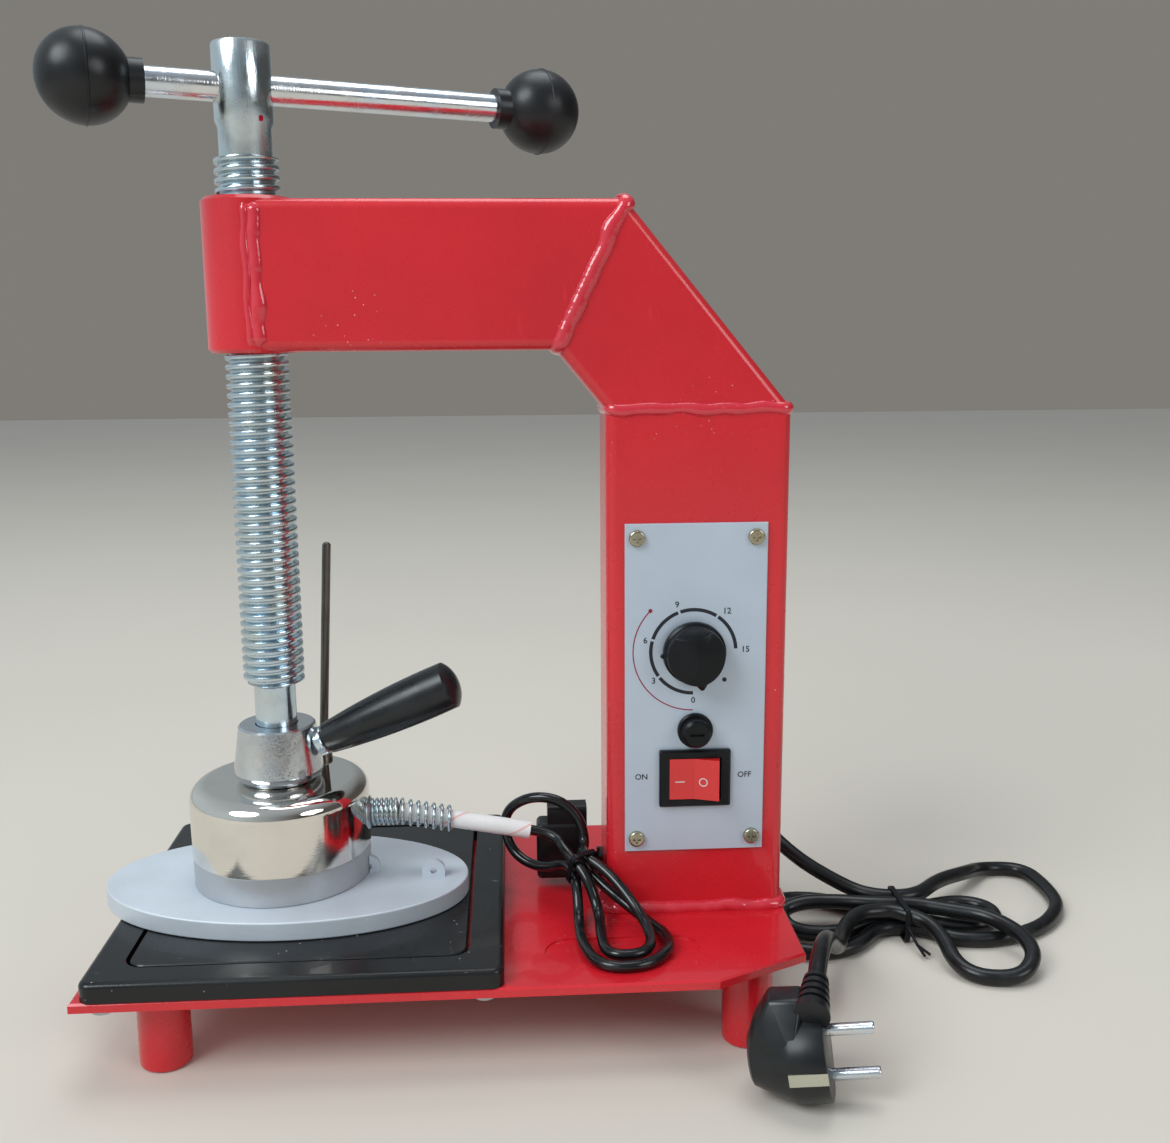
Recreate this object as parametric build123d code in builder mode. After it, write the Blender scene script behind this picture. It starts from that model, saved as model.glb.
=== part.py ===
from build123d import *
import math
import os

os.makedirs("parts", exist_ok=True)

# A bench vulcanizer for patching tyres: a C-shaped press frame, a screw with a
# sliding bar, a heated head on the screw and a heated platen under it.
# The part stands on its feet at Z = 0, its length is along X and its front is -Y.

# Fits shared by the whole machine
fit_gap = 0.05          # a pin, bar or screw in its hole
seat_gap = 0.1          # two pieces that rest on each other and move apart
soft_gap = 0.3          # a cord's end and the moving piece it comes out of
overrun = 1.0           # how far a cutter runs past what it cuts

# Base plate and feet
foot_height = 34.8
foot_radius = 10.7
foot_round = 1.5
foot_inset_left = 30.6  # from the plate's edges to the feet's axes
foot_inset_right = 24.7
foot_inset_side = 22.0
base_thickness = 4.0
base_width = 168.6
base_left_lip = 3.45    # how far it reaches past the platen on the left
base_cut_x = 40.2       # the two cut corners at the column's end
base_cut_y = 20.0
base_edge = 0.8
dimple_length = 67.0    # shallow pressed dimple in front of the column
dimple_width = 22.0
dimple_depth = 0.8
dimple_from_column = 3.8
dimple_from_middle = 55.0

# Column, elbow and arm, all of rounded rectangular tube
screw_to_column = 148.2  # from the screw's axis to the column's left face
column_depth = 80.0
tube_width = 40.0
tube_wall = 3.0
tube_corner = 4.5
column_height = 228.0
throat_height = 252.9   # from the base plate up to the arm
arm_depth = 61.7

# Welds
weld_rise = 1.2         # how far a bead stands out of the tube
weld_half = 2.2         # half of a bead's width
nut_weld_radius = 3.0
nut_weld_from_screw = 4.6

# Screw nut at the arm's end
nut_radius = 19.75
nut_drop = 0.4          # how far it hangs below the arm
nut_height = 63.5
nut_edge = 1.5

# Press screw
thread_radius = 13.4
thread_root_radius = 11.0
thread_pitch = 4.0
thread_start = 108.0    # heights above the base plate, with the head lowered
thread_end = 332.0
thread_crest_share = 0.3
thread_flank_share = 0.22
upper_neck_radius = 10.9
upper_neck_end = 344.0
screw_head_radius = 12.0
screw_head_start = 346.5
screw_head_end = 377.5
screw_head_edge = 1.5
lower_neck_radius = 9.1
groove_radius = 6.6     # groove that the set screws hold
groove_low = 66.2
groove_high = 69.8
groove_edge = 0.6
screw_foot = 65.0       # the screw's lower end

# Sliding bar and its ball knobs
bar_radius = 6.0
bar_height = 359.7
bar_turn = 22.0         # degrees from X towards +Y
bar_left = 61.0         # from the screw's axis to each knob's centre
bar_right = 133.0
bar_hole_gap = 0.1
knob_radius = 18.3
knob_neck_radius = 8.6
knob_neck_length = 3.6
knob_bore_depth = 13.0
knob_seam_rise = 0.35
knob_seam_half = 0.5

# Lower platen
platen_from_screw = 16.7   # its middle from the screw's axis
platen_length = 169.1
platen_side_lip = 0.2      # how far it reaches past the base plate's sides
platen_height = 8.15
platen_corner = 5.0
platen_edge = 2.4
platen_rim_x = 15.6        # from the platen's edges to the heating plate in it
platen_rim_y = 14.6
lower_plate_corner = 7.0
lower_plate_thickness = 4.85
lower_plate_edge = 0.5
platen_groove = 1.6
element_thickness = 1.4
element_margin = 9.0
lower_insulation_margin = 4.0
platen_screw_radius = 2.5
platen_screw_head_radius = 4.8
platen_screw_head_height = 2.8
platen_screw_depth = 4.5
platen_screw_inset = 8.0

# Upper press plate
plate_thickness = 8.35
plate_half_length = 82.0
plate_half_width = 48.5
plate_turn = -3.1       # degrees
plate_from_screw_x = 3.0
plate_from_screw_y = -5.0
plate_edge = 0.7
lug_width = 10.4
lug_height = 8.2
lug_thickness = 2.6
lug_hole_radius = 1.5
lug_far_x = 69.3
lug_far_y = -11.5
lug_near_x = 39.2
lug_near_y = -4.4
lug_ring_gap = 0.3     # the near lug is cut off this far from the heater block
plate_screw_circle = 26.0
plate_screw_radius = 2.5
plate_screw_head_radius = 4.8
plate_screw_head_height = 2.7
plate_screw_depth = 9.0

# Heated head
block_radius = 39.7
block_height = 13.4
block_step_radius = 38.4
block_step_height = 3.0
block_edge = 0.5
cup_radius = 40.0
cup_wall = 1.2
cup_height = 32.0
cup_round = 7.0
upper_element_radius = 35.0
clamp_disc_thickness = 3.0
insulation_thickness = 9.0
head_bolt_circle = 24.0
head_bolt_radius = 2.5
head_bolt_head_radius = 4.2
head_bolt_head_height = 3.5
head_bolt_depth = 10.0

# Collar on the head, which holds the screw's lower end
collar_top_radius = 17.1
collar_wide_radius = 20.0
collar_foot_radius = 16.4
collar_height = 26.0
collar_wide_height = 5.0
collar_round_radius = 18.8    # half way up the round above its foot
collar_round_height = 1.92
collar_edge = 0.8
collar_bore_gap = 0.4
spigot_radius = 8.0
spigot_length = 11.0
spigot_nut_across = 24.0
spigot_nut_height = 8.0
washer_thickness = 1.4
set_screw_radius = 2.0
set_screw_point_radius = 1.6
set_screw_angles = (-50.0, 70.0, 190.0)
set_screw_sunk = 0.6

# Handle on the collar
handle_axis_height = 70.3   # where its axis would cross the screw's axis
handle_rise = 24.5          # degrees
handle_turn = -7.0
ferrule_start = 20.3
ferrule_length = 4.2
ferrule_radius = 6.6
ferrule_edge = 0.6
stud_radius = 3.5
stud_into_collar = 6.0
stud_into_grip = 22.0
grip_length = 66.5
grip_bend_share = 0.45   # where along it the grip has its middle radius
grip_near_radius = 7.2
grip_mid_radius = 10.1
grip_far_radius = 10.7
grip_shoulder = 4.0
grip_near_round = 1.4

# Guide rod that stands behind the collar
rod_radius = 2.0
rod_foot_x = 16.0
rod_foot_y = 26.5
rod_top_x = 22.0
rod_top_y = 26.0
rod_top_height = 166.0
rod_base_radius = 4.2
rod_base_height = 3.0
rod_base_edge = 0.7
rod_end_round = 1.8

# Cable outlet of the head: nipple, spring and sleeve
gland_height = 44.0
nipple_radius = 6.3
nipple_seat_radius = 8.6
nipple_seat_length = 3.2
nipple_length = 12.8
nipple_into_cup = 1.0
sleeve_radius = 4.0
sleeve_drop = 10.6      # degrees below level
sleeve_length = 61.0    # from the nipple's face to its free end
spring_wire_radius = 0.75
spring_turns = 10
spring_length = 24.0
spring_gap = 0.25       # between the spring and the sleeve

# Lead from the head to the column, with its plug-in connector
lead_radius = 2.4
connector_length = 23.8
connector_width = 13.0
connector_height = 28.0
connector_top_length = 18.6     # of its higher part next to the column
connector_top_height = 36.0
connector_top_inset = 1.0
connector_neck_length = 5.2     # between its body and the socket
connector_neck_width = 8.0
connector_neck_height = 9.0
connector_edge = 2.5
connector_front = 8.0   # from the column's middle plane back to its front
connector_low = 4.0
connector_nose_radius = 4.0
connector_nose_length = 1.7
connector_nose_from_column = 11.6
connector_nose_height = 17.5
socket_thickness = 2.2
socket_margin = 1.8
socket_height = 9.5      # of its middle above the base plate
socket_boss_width = 5.0
socket_boss_height = 6.0
socket_boss_forward = 0.0

# Control panel on the column's front
panel_width = 62.4
panel_height = 149.3
panel_thickness = 1.5
panel_low = 29.8
panel_from_column = 7.9
panel_edge = 0.3
window_width = 42.0
window_height = 104.0
window_low = 45.0
panel_screw_inset_x = 5.2
panel_screw_inset_z = 6.2
panel_screw_head_radius = 3.6
panel_screw_head_height = 2.0
panel_screw_head_round = 1.0
panel_screw_radius = 1.7
panel_screw_length = 5.0
panel_screw_slot = 0.9
panel_screw_slot_depth = 1.0

# Timer with its knob
timer_height = 122.3    # of its axis above the base plate
timer_from_middle = -1.0     # from the panel's middle
knob_face_radius = 14.0
knob_skirt_height = 3.0
knob_body_radius = 13.0
knob_grip_width = 8.6
knob_grip_notch = 2.15     # depth of the notch in the grip's end
knob_grip_height = 7.0
nose_start_share = 0.72   # where the grip's sides turn in to its nose
knob_edge = 0.9
pointer_turn = 10.0     # degrees from straight down towards the right
shaft_radius = 3.0
timer_body_width = 38.0
timer_body_height = 36.0
timer_body_depth = 27.0
timer_bush_radius = 4.8
timer_bush_length = 2.4
timer_cup_depth = 6.5   # how far the shaft goes into the knob

# Fuse
fuse_height = 86.3
fuse_flange_radius = 7.9
fuse_flange_height = 2.0
fuse_flange_edge = 0.5
fuse_body_radius = 6.4
fuse_body_length = 30.0
fuse_cap_radius = 6.3
fuse_cap_height = 5.5
fuse_cap_edge = 1.0
fuse_slot_width = 1.4
fuse_slot_depth = 1.2
fuse_neck_radius = 4.6
fuse_neck_length = 5.0
fuse_tube_radius = 2.6
fuse_tube_length = 20.0
fuse_tube_hold = 3.0     # how deep the cap's neck holds the glass fuse

# Switch
switch_height = 64.3
switch_width = 31.9
switch_tall = 26.2
switch_bezel = 2.6
switch_bezel_edge = 0.8
switch_body_width = 28.0
switch_body_tall = 22.0
switch_body_depth = 20.0
switch_well_width = 23.4
switch_well_tall = 19.4
switch_well_depth = 9.0
rocker_tilt = 10.0      # degrees to each side of level
rocker_gap = 0.7
rocker_depth = 2.0      # of its pivot behind the bezel's front
rocker_rise = 4.0       # of its two ends in front of its pivot
rocker_back = 2.5
rocker_pin_radius = 1.2
rocker_pin_length = 0.8

# Inside of the column
terminal_length = 34.0
terminal_depth = 14.0
terminal_height = 12.0
terminal_low = 14.0
terminal_margin = 4.0
terminal_poles = 4
terminal_hole_radius = 1.8

# Mains cord with its outlet on the column's back
mains_radius = 3.75
mains_x_from_column = 50.0
mains_height = 28.0
gland_radius = 7.5
gland_thickness = 3.5
gland_thread_radius = 5.5
gland_thread_length = 8.0
gland_nut_across = 15.0
gland_nut_thickness = 3.0
boot_radius = 6.0
boot_tip_radius = 4.6
boot_length = 20.0
rib_count = 4
rib_depth = 0.6
rib_share = 0.45        # share of each rib's pitch that is cut away

# Ties round the lead and the hank
tie_thickness = 0.8
tie_width = 2.4
tie_gap = 0.08
tie_corner = 2.0
tie_tail_radius = 0.7

# Free runs of the mains cord
bend_share = 0.45
floor_gap = 0.05

# Hank of the mains cord beside the base plate, tied at its waist
hank_from_column = 151.8   # from the column's left face to the tie
hank_middle = 31.0
hank_pitch = 8.5
strand_layer = 8.4
last_strand_rise = 0.6    # of the strand that leaves over the floor loops

# Mains plug, which lies beside the front right foot
plug_face_x = 228.0     # from the screw's axis
plug_face_y = -110.0
plug_radius = 18.6
plug_rim = 14.0
plug_back_radius = 11.0
plug_depth = 31.0
plug_lean = 10.0        # degrees that its pins rise
plug_turn = 15.0        # degrees that its pins turn to the front
plug_edge = 1.0
plug_neck_length = 17.0
plug_neck_width = 17.0
plug_neck_rise = 27.0   # above the plug's axis
plug_neck_back = 20.0   # behind the plug's face
plug_neck_round = 4.0
pin_radius = 2.4
pin_length = 19.0
pin_spacing = 19.0
pin_root = 6.0
pin_round = 1.0
relief_radius = 7.0
relief_tip_radius = 5.0
relief_length = 20.0
clip_width = 5.0
clip_length = 15.0
clip_thickness = 0.9
clip_rise = 0.3

# Places worked out from the sizes above
plate_turn_rad = math.radians(plate_turn)
plate_span = math.hypot(
    plate_half_length * math.cos(plate_turn_rad),
    plate_half_width * math.sin(plate_turn_rad),
)
plate_tip = plate_span - plate_from_screw_x
base_right_reach = screw_to_column + column_depth + weld_rise
screw_x = (plate_tip - base_right_reach) / 2
platen_width = base_width + 2 * platen_side_lip
lower_plate_length = platen_length - 2 * platen_rim_x
lower_plate_width = platen_width - 2 * platen_rim_y
base_left_reach = platen_length / 2 - platen_from_screw + base_left_lip
foot_spacing_x = base_left_reach + base_right_reach - foot_inset_left - foot_inset_right
foot_spacing_y = base_width - 2 * foot_inset_side
base_bottom = foot_height
deck = foot_height + base_thickness
column_left = screw_x + screw_to_column
column_x = column_left + column_depth / 2
column_right = column_left + column_depth
column_front = -tube_width / 2
arm_low = deck + throat_height
arm_high = arm_low + arm_depth
elbow_angle = math.degrees(math.asin(arm_depth / column_depth))
elbow_run = (throat_height - column_height) / math.tan(math.radians(elbow_angle))
elbow_rise = (throat_height + arm_depth - column_height) / math.tan(math.radians(elbow_angle))
mitre_low = Vector(column_left - elbow_run, 0, arm_low)
mitre_high = Vector(column_right - elbow_rise, 0, arm_high)
platen_top = deck + platen_height
plate_low = platen_top + seat_gap
plate_high = plate_low + plate_thickness
block_top = plate_high + block_height
cup_top = block_top + cup_height
collar_low = cup_top
collar_high = collar_low + collar_height
bar_direction = Vector(math.cos(math.radians(bar_turn)), math.sin(math.radians(bar_turn)), 0)
panel_x = column_left + panel_from_column + panel_width / 2
panel_face = column_front - panel_thickness
written = []


def write(name, part):
    """Labels a finished piece and writes it to its own file."""
    part.label = name
    export_step(part, f"parts/{name}.step")
    written.append(part)


def drum(plane, radius, length):
    """A plain cylinder that stands on a plane."""
    with BuildPart(plane) as piece:
        Cylinder(radius, length, align=(Align.CENTER, Align.CENTER, Align.MIN))
    return piece.part


def four_spots(middle_x, middle_y, reach_x, reach_y):
    """The corners of a rectangle about a middle."""
    return [(middle_x + side * reach_x, middle_y + end * reach_y) for side in (-1, 1) for end in (-1, 1)]


def three_spots(radius, start):
    """Three even places on a circle about the screw's axis."""
    turns = [math.radians(start + 120 * third) for third in range(3)]
    return [(screw_x + radius * math.cos(turn), radius * math.sin(turn)) for turn in turns]


def turned(points):
    """A solid of revolution about the screw's axis, from points of radius and height."""
    with BuildPart() as piece:
        with BuildSketch(Plane(origin=(screw_x, 0, 0), x_dir=(1, 0, 0), z_dir=(0, -1, 0))):
            with BuildLine():
                Polyline(*points, close=True)
            make_face()
        revolve(axis=Axis((screw_x, 0, 0), (0, 0, 1)))
    return piece.part


# Base plate with its dimple and the holes for the platen's screws
platen_x = screw_x + platen_from_screw
platen_screw_spots = four_spots(
    platen_x,
    0,
    platen_length / 2 - platen_screw_inset,
    platen_width / 2 - platen_screw_inset,
)
base_left = screw_x - base_left_reach
base_right = screw_x + base_right_reach
base_half = base_width / 2
with BuildPart() as base_plate:
    with BuildSketch(Plane.XY.offset(base_bottom)):
        with BuildLine():
            Polyline(
                (base_left, -base_half),
                (base_right - base_cut_x, -base_half),
                (base_right, base_cut_y - base_half),
                (base_right, base_half - base_cut_y),
                (base_right - base_cut_x, base_half),
                (base_left, base_half),
                close=True,
            )
        make_face()
    extrude(amount=base_thickness)
    chamfer(base_plate.faces().sort_by(Axis.Z)[-1].edges(), base_edge)
    with BuildSketch(Plane.XY.offset(deck)):
        with Locations((column_left + dimple_from_column, -dimple_from_middle)):
            SlotOverall(dimple_length, dimple_width)
    extrude(amount=-dimple_depth, mode=Mode.SUBTRACT)
    with BuildSketch(Plane.XY.offset(base_bottom)):
        with Locations(*platen_screw_spots):
            Circle(platen_screw_radius + fit_gap)
    extrude(amount=base_thickness, mode=Mode.SUBTRACT)
write("base_plate", base_plate.part)

# Four feet
foot_left = base_left + foot_inset_left
foot_x = foot_left + foot_spacing_x / 2
with BuildPart() as feet:
    with BuildSketch():
        with Locations((foot_x, 0)):
            with GridLocations(foot_spacing_x, foot_spacing_y, 2, 2):
                Circle(foot_radius)
    extrude(amount=foot_height)
    fillet(feet.faces().sort_by(Axis.Z)[:4].edges(), foot_round)
write("feet", feet.part)

# Column, with the window behind the panel and the two cable holes
socket_y = connector_front + connector_width / 2
socket_z = deck + socket_height
mains_x = column_left + mains_x_from_column
mains_z = deck + mains_height
panel_screw_spots = four_spots(
    0,
    0,
    panel_width / 2 - panel_screw_inset_x,
    panel_height / 2 - panel_screw_inset_z,
)
panel_plane = Plane(
    origin=(panel_x, panel_face, deck + panel_low + panel_height / 2),
    x_dir=(1, 0, 0),
    z_dir=(0, -1, 0),
)
with BuildPart() as column_tube:
    with BuildSketch(Plane.XY.offset(deck)):
        with Locations((column_x, 0)):
            RectangleRounded(column_depth, tube_width, tube_corner)
            RectangleRounded(
                column_depth - 2 * tube_wall,
                tube_width - 2 * tube_wall,
                tube_corner - tube_wall,
                mode=Mode.SUBTRACT,
            )
    extrude(amount=column_height)
    with BuildSketch(Plane.XZ.offset(-column_front)):
        with Locations((panel_x, deck + window_low + window_height / 2)):
            Rectangle(window_width, window_height)
    extrude(amount=-tube_wall, mode=Mode.SUBTRACT)
    with BuildSketch(panel_plane.offset(-panel_thickness)):
        with Locations(*panel_screw_spots):
            Circle(panel_screw_radius + fit_gap)
    extrude(amount=-tube_wall, mode=Mode.SUBTRACT)
    with BuildSketch(Plane.YZ.offset(column_left)):
        with Locations((socket_y - socket_boss_forward, socket_z)):
            Rectangle(socket_boss_width + 2 * fit_gap, socket_boss_height + 2 * fit_gap)
    extrude(amount=tube_wall, mode=Mode.SUBTRACT)
    with BuildSketch(Plane.XZ.offset(-tube_width / 2)):
        with Locations((mains_x, mains_z)):
            Circle(gland_thread_radius + fit_gap)
    extrude(amount=tube_wall, mode=Mode.SUBTRACT)
write("column_tube", column_tube.part)

# Elbow, a slanted tube cut level at the column and mitred at the arm
slant = math.radians(elbow_angle)
elbow_plane = Plane(
    origin=(column_x, 0, deck + column_height),
    x_dir=(math.sin(slant), 0, math.cos(slant)),
    z_dir=(-math.cos(slant), 0, math.sin(slant)),
)
mitre_run = (mitre_high - mitre_low).normalized()
mitre_plane = Plane(origin=mitre_low, x_dir=(0, 1, 0), z_dir=(mitre_run.Z, 0, -mitre_run.X))
with BuildPart() as elbow_tube:
    with BuildSketch(elbow_plane):
        RectangleRounded(arm_depth, tube_width, tube_corner)
        RectangleRounded(
            arm_depth - 2 * tube_wall,
            tube_width - 2 * tube_wall,
            tube_corner - tube_wall,
            mode=Mode.SUBTRACT,
        )
    extrude(amount=column_depth + column_depth, both=True)
    split(bisect_by=Plane.XY.offset(deck + column_height), keep=Keep.TOP)
    split(bisect_by=mitre_plane, keep=Keep.TOP)
write("elbow_tube", elbow_tube.part)

# Arm, from the nut to the mitre
arm_plane = Plane(
    origin=(screw_x, 0, arm_low + arm_depth / 2),
    x_dir=(0, 1, 0),
    z_dir=(1, 0, 0),
)
nut_low = arm_low - nut_drop
with BuildPart() as arm_tube:
    with BuildSketch(arm_plane):
        RectangleRounded(tube_width, arm_depth, tube_corner)
        RectangleRounded(
            tube_width - 2 * tube_wall,
            arm_depth - 2 * tube_wall,
            tube_corner - tube_wall,
            mode=Mode.SUBTRACT,
        )
    extrude(amount=screw_to_column + column_depth)
    split(bisect_by=mitre_plane, keep=Keep.BOTTOM)
    with Locations((screw_x, 0, nut_low)):
        Cylinder(
            nut_radius + fit_gap,
            nut_height,
            align=(Align.CENTER, Align.CENTER, Align.MIN),
            mode=Mode.SUBTRACT,
        )
arm_body = arm_tube.part.solids().sort_by(Axis.X)[-1]
write("arm_tube", Part() + arm_body)

# Nut that the screw runs in
with BuildPart() as screw_nut:
    with BuildSketch(Plane.XY.offset(nut_low)):
        with Locations((screw_x, 0)):
            Circle(nut_radius)
    extrude(amount=nut_height)
    chamfer(screw_nut.edges().filter_by(GeomType.CIRCLE), nut_edge)
    with BuildSketch(Plane.XY.offset(nut_low)):
        with Locations((screw_x, 0)):
            Circle(thread_radius + fit_gap)
    extrude(amount=nut_height, mode=Mode.SUBTRACT)
write("screw_nut", screw_nut.part)


# Weld beads: rings round the tubes' joints, and two upright beads at the nut
def weld_ring(plane, width, depth, low, high):
    """A bead round a tube of width by depth, from low to high along the plane's normal."""
    with BuildPart() as bead:
        with BuildSketch(plane.offset(low)):
            RectangleRounded(
                width + 2 * weld_rise,
                depth + 2 * weld_rise,
                tube_corner + weld_rise,
            )
            RectangleRounded(
                width + 2 * fit_gap,
                depth + 2 * fit_gap,
                tube_corner,
                mode=Mode.SUBTRACT,
            )
        extrude(amount=high - low)
    return bead.part


column_end_plane = Plane(origin=(column_x, 0, deck + column_height))
column_foot_plane = Plane(origin=(column_x, 0, deck))
column_foot_bead = weld_ring(column_foot_plane, column_depth, tube_width, seat_gap, weld_half)
elbow_bead = weld_ring(column_end_plane, column_depth, tube_width, -weld_half, weld_half)
elbow_bead = elbow_bead - elbow_tube.part
write("column_welds", Part() + [column_foot_bead, elbow_bead])
mitre_middle = (mitre_low + mitre_high) / 2
mitre_length = (mitre_high - mitre_low).length
arm_weld_plane = Plane(origin=mitre_middle, x_dir=(0, 1, 0), z_dir=mitre_plane.z_dir)
arm_bead = weld_ring(arm_weld_plane, tube_width, mitre_length, -weld_half, weld_half)
write("arm_weld", arm_bead - elbow_tube.part - arm_body)
nut_bead_x = screw_x + nut_weld_from_screw
nut_bead_y = nut_radius - nut_weld_radius / 2
nut_bead_length = arm_depth - 2 * tube_corner
with BuildPart() as nut_welds:
    with Locations((nut_bead_x, -nut_bead_y), (nut_bead_x, nut_bead_y)):
        Cylinder(nut_weld_radius, nut_bead_length, align=(Align.CENTER, Align.CENTER, Align.MIN))
nut_beads = Pos(0, 0, arm_low + tube_corner) * nut_welds.part
nut_beads = nut_beads - screw_nut.part - arm_body
nut_bead_solids = nut_beads.solids().sort_by(SortBy.VOLUME)[-2:]
write("nut_welds", Part() + nut_bead_solids)

# Press screw: foot and groove, neck, thread as even rings of its real pitch, head with the bar's hole
screw_points = [
    (0, deck + screw_foot),
    (lower_neck_radius - groove_edge, deck + screw_foot),
    (lower_neck_radius, deck + screw_foot + groove_edge),
    (lower_neck_radius, deck + groove_low),
    (groove_radius, deck + groove_low),
    (groove_radius, deck + groove_high),
    (lower_neck_radius, deck + groove_high),
    (lower_neck_radius, deck + thread_start - thread_pitch / 2),
    (thread_root_radius, deck + thread_start),
]
thread_rings = round((thread_end - thread_start) / thread_pitch)
ring_pitch = (thread_end - thread_start) / thread_rings
flank = ring_pitch * thread_flank_share
crest = ring_pitch * thread_crest_share
for ring in range(thread_rings):
    ring_low = deck + thread_start + ring * ring_pitch
    screw_points.append((thread_radius, ring_low + flank))
    screw_points.append((thread_radius, ring_low + flank + crest))
    screw_points.append((thread_root_radius, ring_low + 2 * flank + crest))
    screw_points.append((thread_root_radius, ring_low + ring_pitch))
screw_points += [
    (upper_neck_radius, deck + thread_end),
    (upper_neck_radius, deck + upper_neck_end),
    (screw_head_radius, deck + screw_head_start),
    (screw_head_radius, deck + screw_head_end - screw_head_edge),
    (screw_head_radius - screw_head_edge, deck + screw_head_end),
    (0, deck + screw_head_end),
]
bar_plane = Plane(origin=(screw_x, 0, deck + bar_height), x_dir=(0, 0, 1), z_dir=bar_direction)
with BuildPart() as press_screw:
    add(turned(screw_points))
    with BuildSketch(bar_plane):
        Circle(bar_radius + bar_hole_gap)
    extrude(amount=2 * screw_head_radius, both=True, mode=Mode.SUBTRACT)
write("press_screw", press_screw.part)

# Sliding bar and its two ball knobs
bar_end = knob_radius + knob_neck_length - knob_bore_depth
with BuildPart() as turning_bar:
    with BuildSketch(bar_plane.offset(-bar_left + bar_end)):
        Circle(bar_radius)
    extrude(amount=bar_left + bar_right - 2 * bar_end)
write("turning_bar", turning_bar.part)


def ball_knob(plane):
    """A ball knob with a seam ring and a short neck; the plane's normal points to the bar."""
    neck_start = math.sqrt(knob_radius**2 - knob_neck_radius**2)
    seam_start = math.degrees(math.asin(knob_seam_half / knob_radius))
    neck_angle = math.degrees(math.asin(neck_start / knob_radius))
    seam_radius = knob_radius + knob_seam_rise
    with BuildPart() as knob:
        with BuildSketch(Plane(origin=plane.origin, x_dir=plane.x_dir, z_dir=plane.y_dir * -1)):
            with BuildLine():
                CenterArc((0, 0), knob_radius, seam_start, neck_angle - seam_start)
                neck_foot = (knob_neck_radius, neck_start)
                neck_face = knob_radius + knob_neck_length
                Polyline(neck_foot, (knob_neck_radius, neck_face), (0, neck_face), (0, -knob_radius))
                CenterArc((0, 0), knob_radius, -90, 90 - seam_start)
                seam_flat = knob_radius * math.cos(math.radians(seam_start))
                Polyline(
                    (seam_flat, -knob_seam_half),
                    (seam_radius, -knob_seam_half / 2),
                    (seam_radius, knob_seam_half / 2),
                    (seam_flat, knob_seam_half),
                )
            make_face()
        revolve(axis=Axis(plane.origin, plane.z_dir))
        with BuildSketch(plane.offset(knob_radius + knob_neck_length - knob_bore_depth)):
            Circle(bar_radius + fit_gap)
        extrude(amount=knob_bore_depth + overrun, mode=Mode.SUBTRACT)
    return knob.part


left_knob_plane = bar_plane.offset(-bar_left)
right_knob_origin = bar_plane.offset(bar_right).origin
right_knob_plane = Plane(origin=right_knob_origin, x_dir=(0, 0, 1), z_dir=bar_direction * -1)
write("ball_knobs", Part() + [ball_knob(left_knob_plane), ball_knob(right_knob_plane)])

# Lower platen: cast frame, heating plate, mica element and insulation
lower_plate_low = platen_top - lower_plate_thickness
element_high = lower_plate_low - fit_gap
element_low = element_high - element_thickness
with BuildPart() as platen_frame:
    with BuildSketch(Plane.XY.offset(deck)):
        with Locations((platen_x, 0)):
            RectangleRounded(platen_length, platen_width, platen_corner)
    extrude(amount=platen_height)
    fillet(platen_frame.faces().sort_by(Axis.Z)[-1].edges(), platen_edge)
    with BuildSketch(Plane.XY.offset(deck)):
        with Locations((platen_x, 0)):
            RectangleRounded(
                lower_plate_length + 2 * platen_groove,
                lower_plate_width + 2 * platen_groove,
                lower_plate_corner + platen_groove,
            )
    extrude(amount=platen_height, mode=Mode.SUBTRACT)
    with BuildSketch(Plane.XY.offset(deck)):
        with Locations(*platen_screw_spots):
            Circle(platen_screw_radius + fit_gap)
    extrude(amount=platen_screw_depth + fit_gap, mode=Mode.SUBTRACT)
write("platen_frame", platen_frame.part)

with BuildPart() as lower_heating_plate:
    with BuildSketch(Plane.XY.offset(lower_plate_low)):
        with Locations((platen_x, 0)):
            RectangleRounded(lower_plate_length, lower_plate_width, lower_plate_corner)
    extrude(amount=lower_plate_thickness)
    chamfer(lower_heating_plate.faces().sort_by(Axis.Z)[-1].edges(), lower_plate_edge)
write("lower_heating_plate", lower_heating_plate.part)

with BuildPart() as lower_element:
    with BuildSketch(Plane.XY.offset(element_low)):
        with Locations((platen_x, 0)):
            Rectangle(lower_plate_length - 2 * element_margin, lower_plate_width - 2 * element_margin)
    extrude(amount=element_thickness)
write("lower_heating_element", lower_element.part)

with BuildPart() as lower_insulation:
    with BuildSketch(Plane.XY.offset(deck)):
        with Locations((platen_x, 0)):
            Rectangle(
                lower_plate_length - 2 * lower_insulation_margin,
                lower_plate_width - 2 * lower_insulation_margin,
            )
    extrude(amount=element_low - fit_gap - deck)
write("lower_insulation", lower_insulation.part)

with BuildPart() as platen_screws:
    with BuildSketch(Plane.XY.offset(base_bottom)):
        with Locations(*platen_screw_spots):
            Circle(platen_screw_radius)
    extrude(amount=base_thickness + platen_screw_depth)
    with BuildSketch(Plane.XY.offset(base_bottom)):
        with Locations(*platen_screw_spots):
            Circle(platen_screw_head_radius)
    extrude(amount=-platen_screw_head_height)
write("platen_screws", platen_screws.part)

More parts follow.
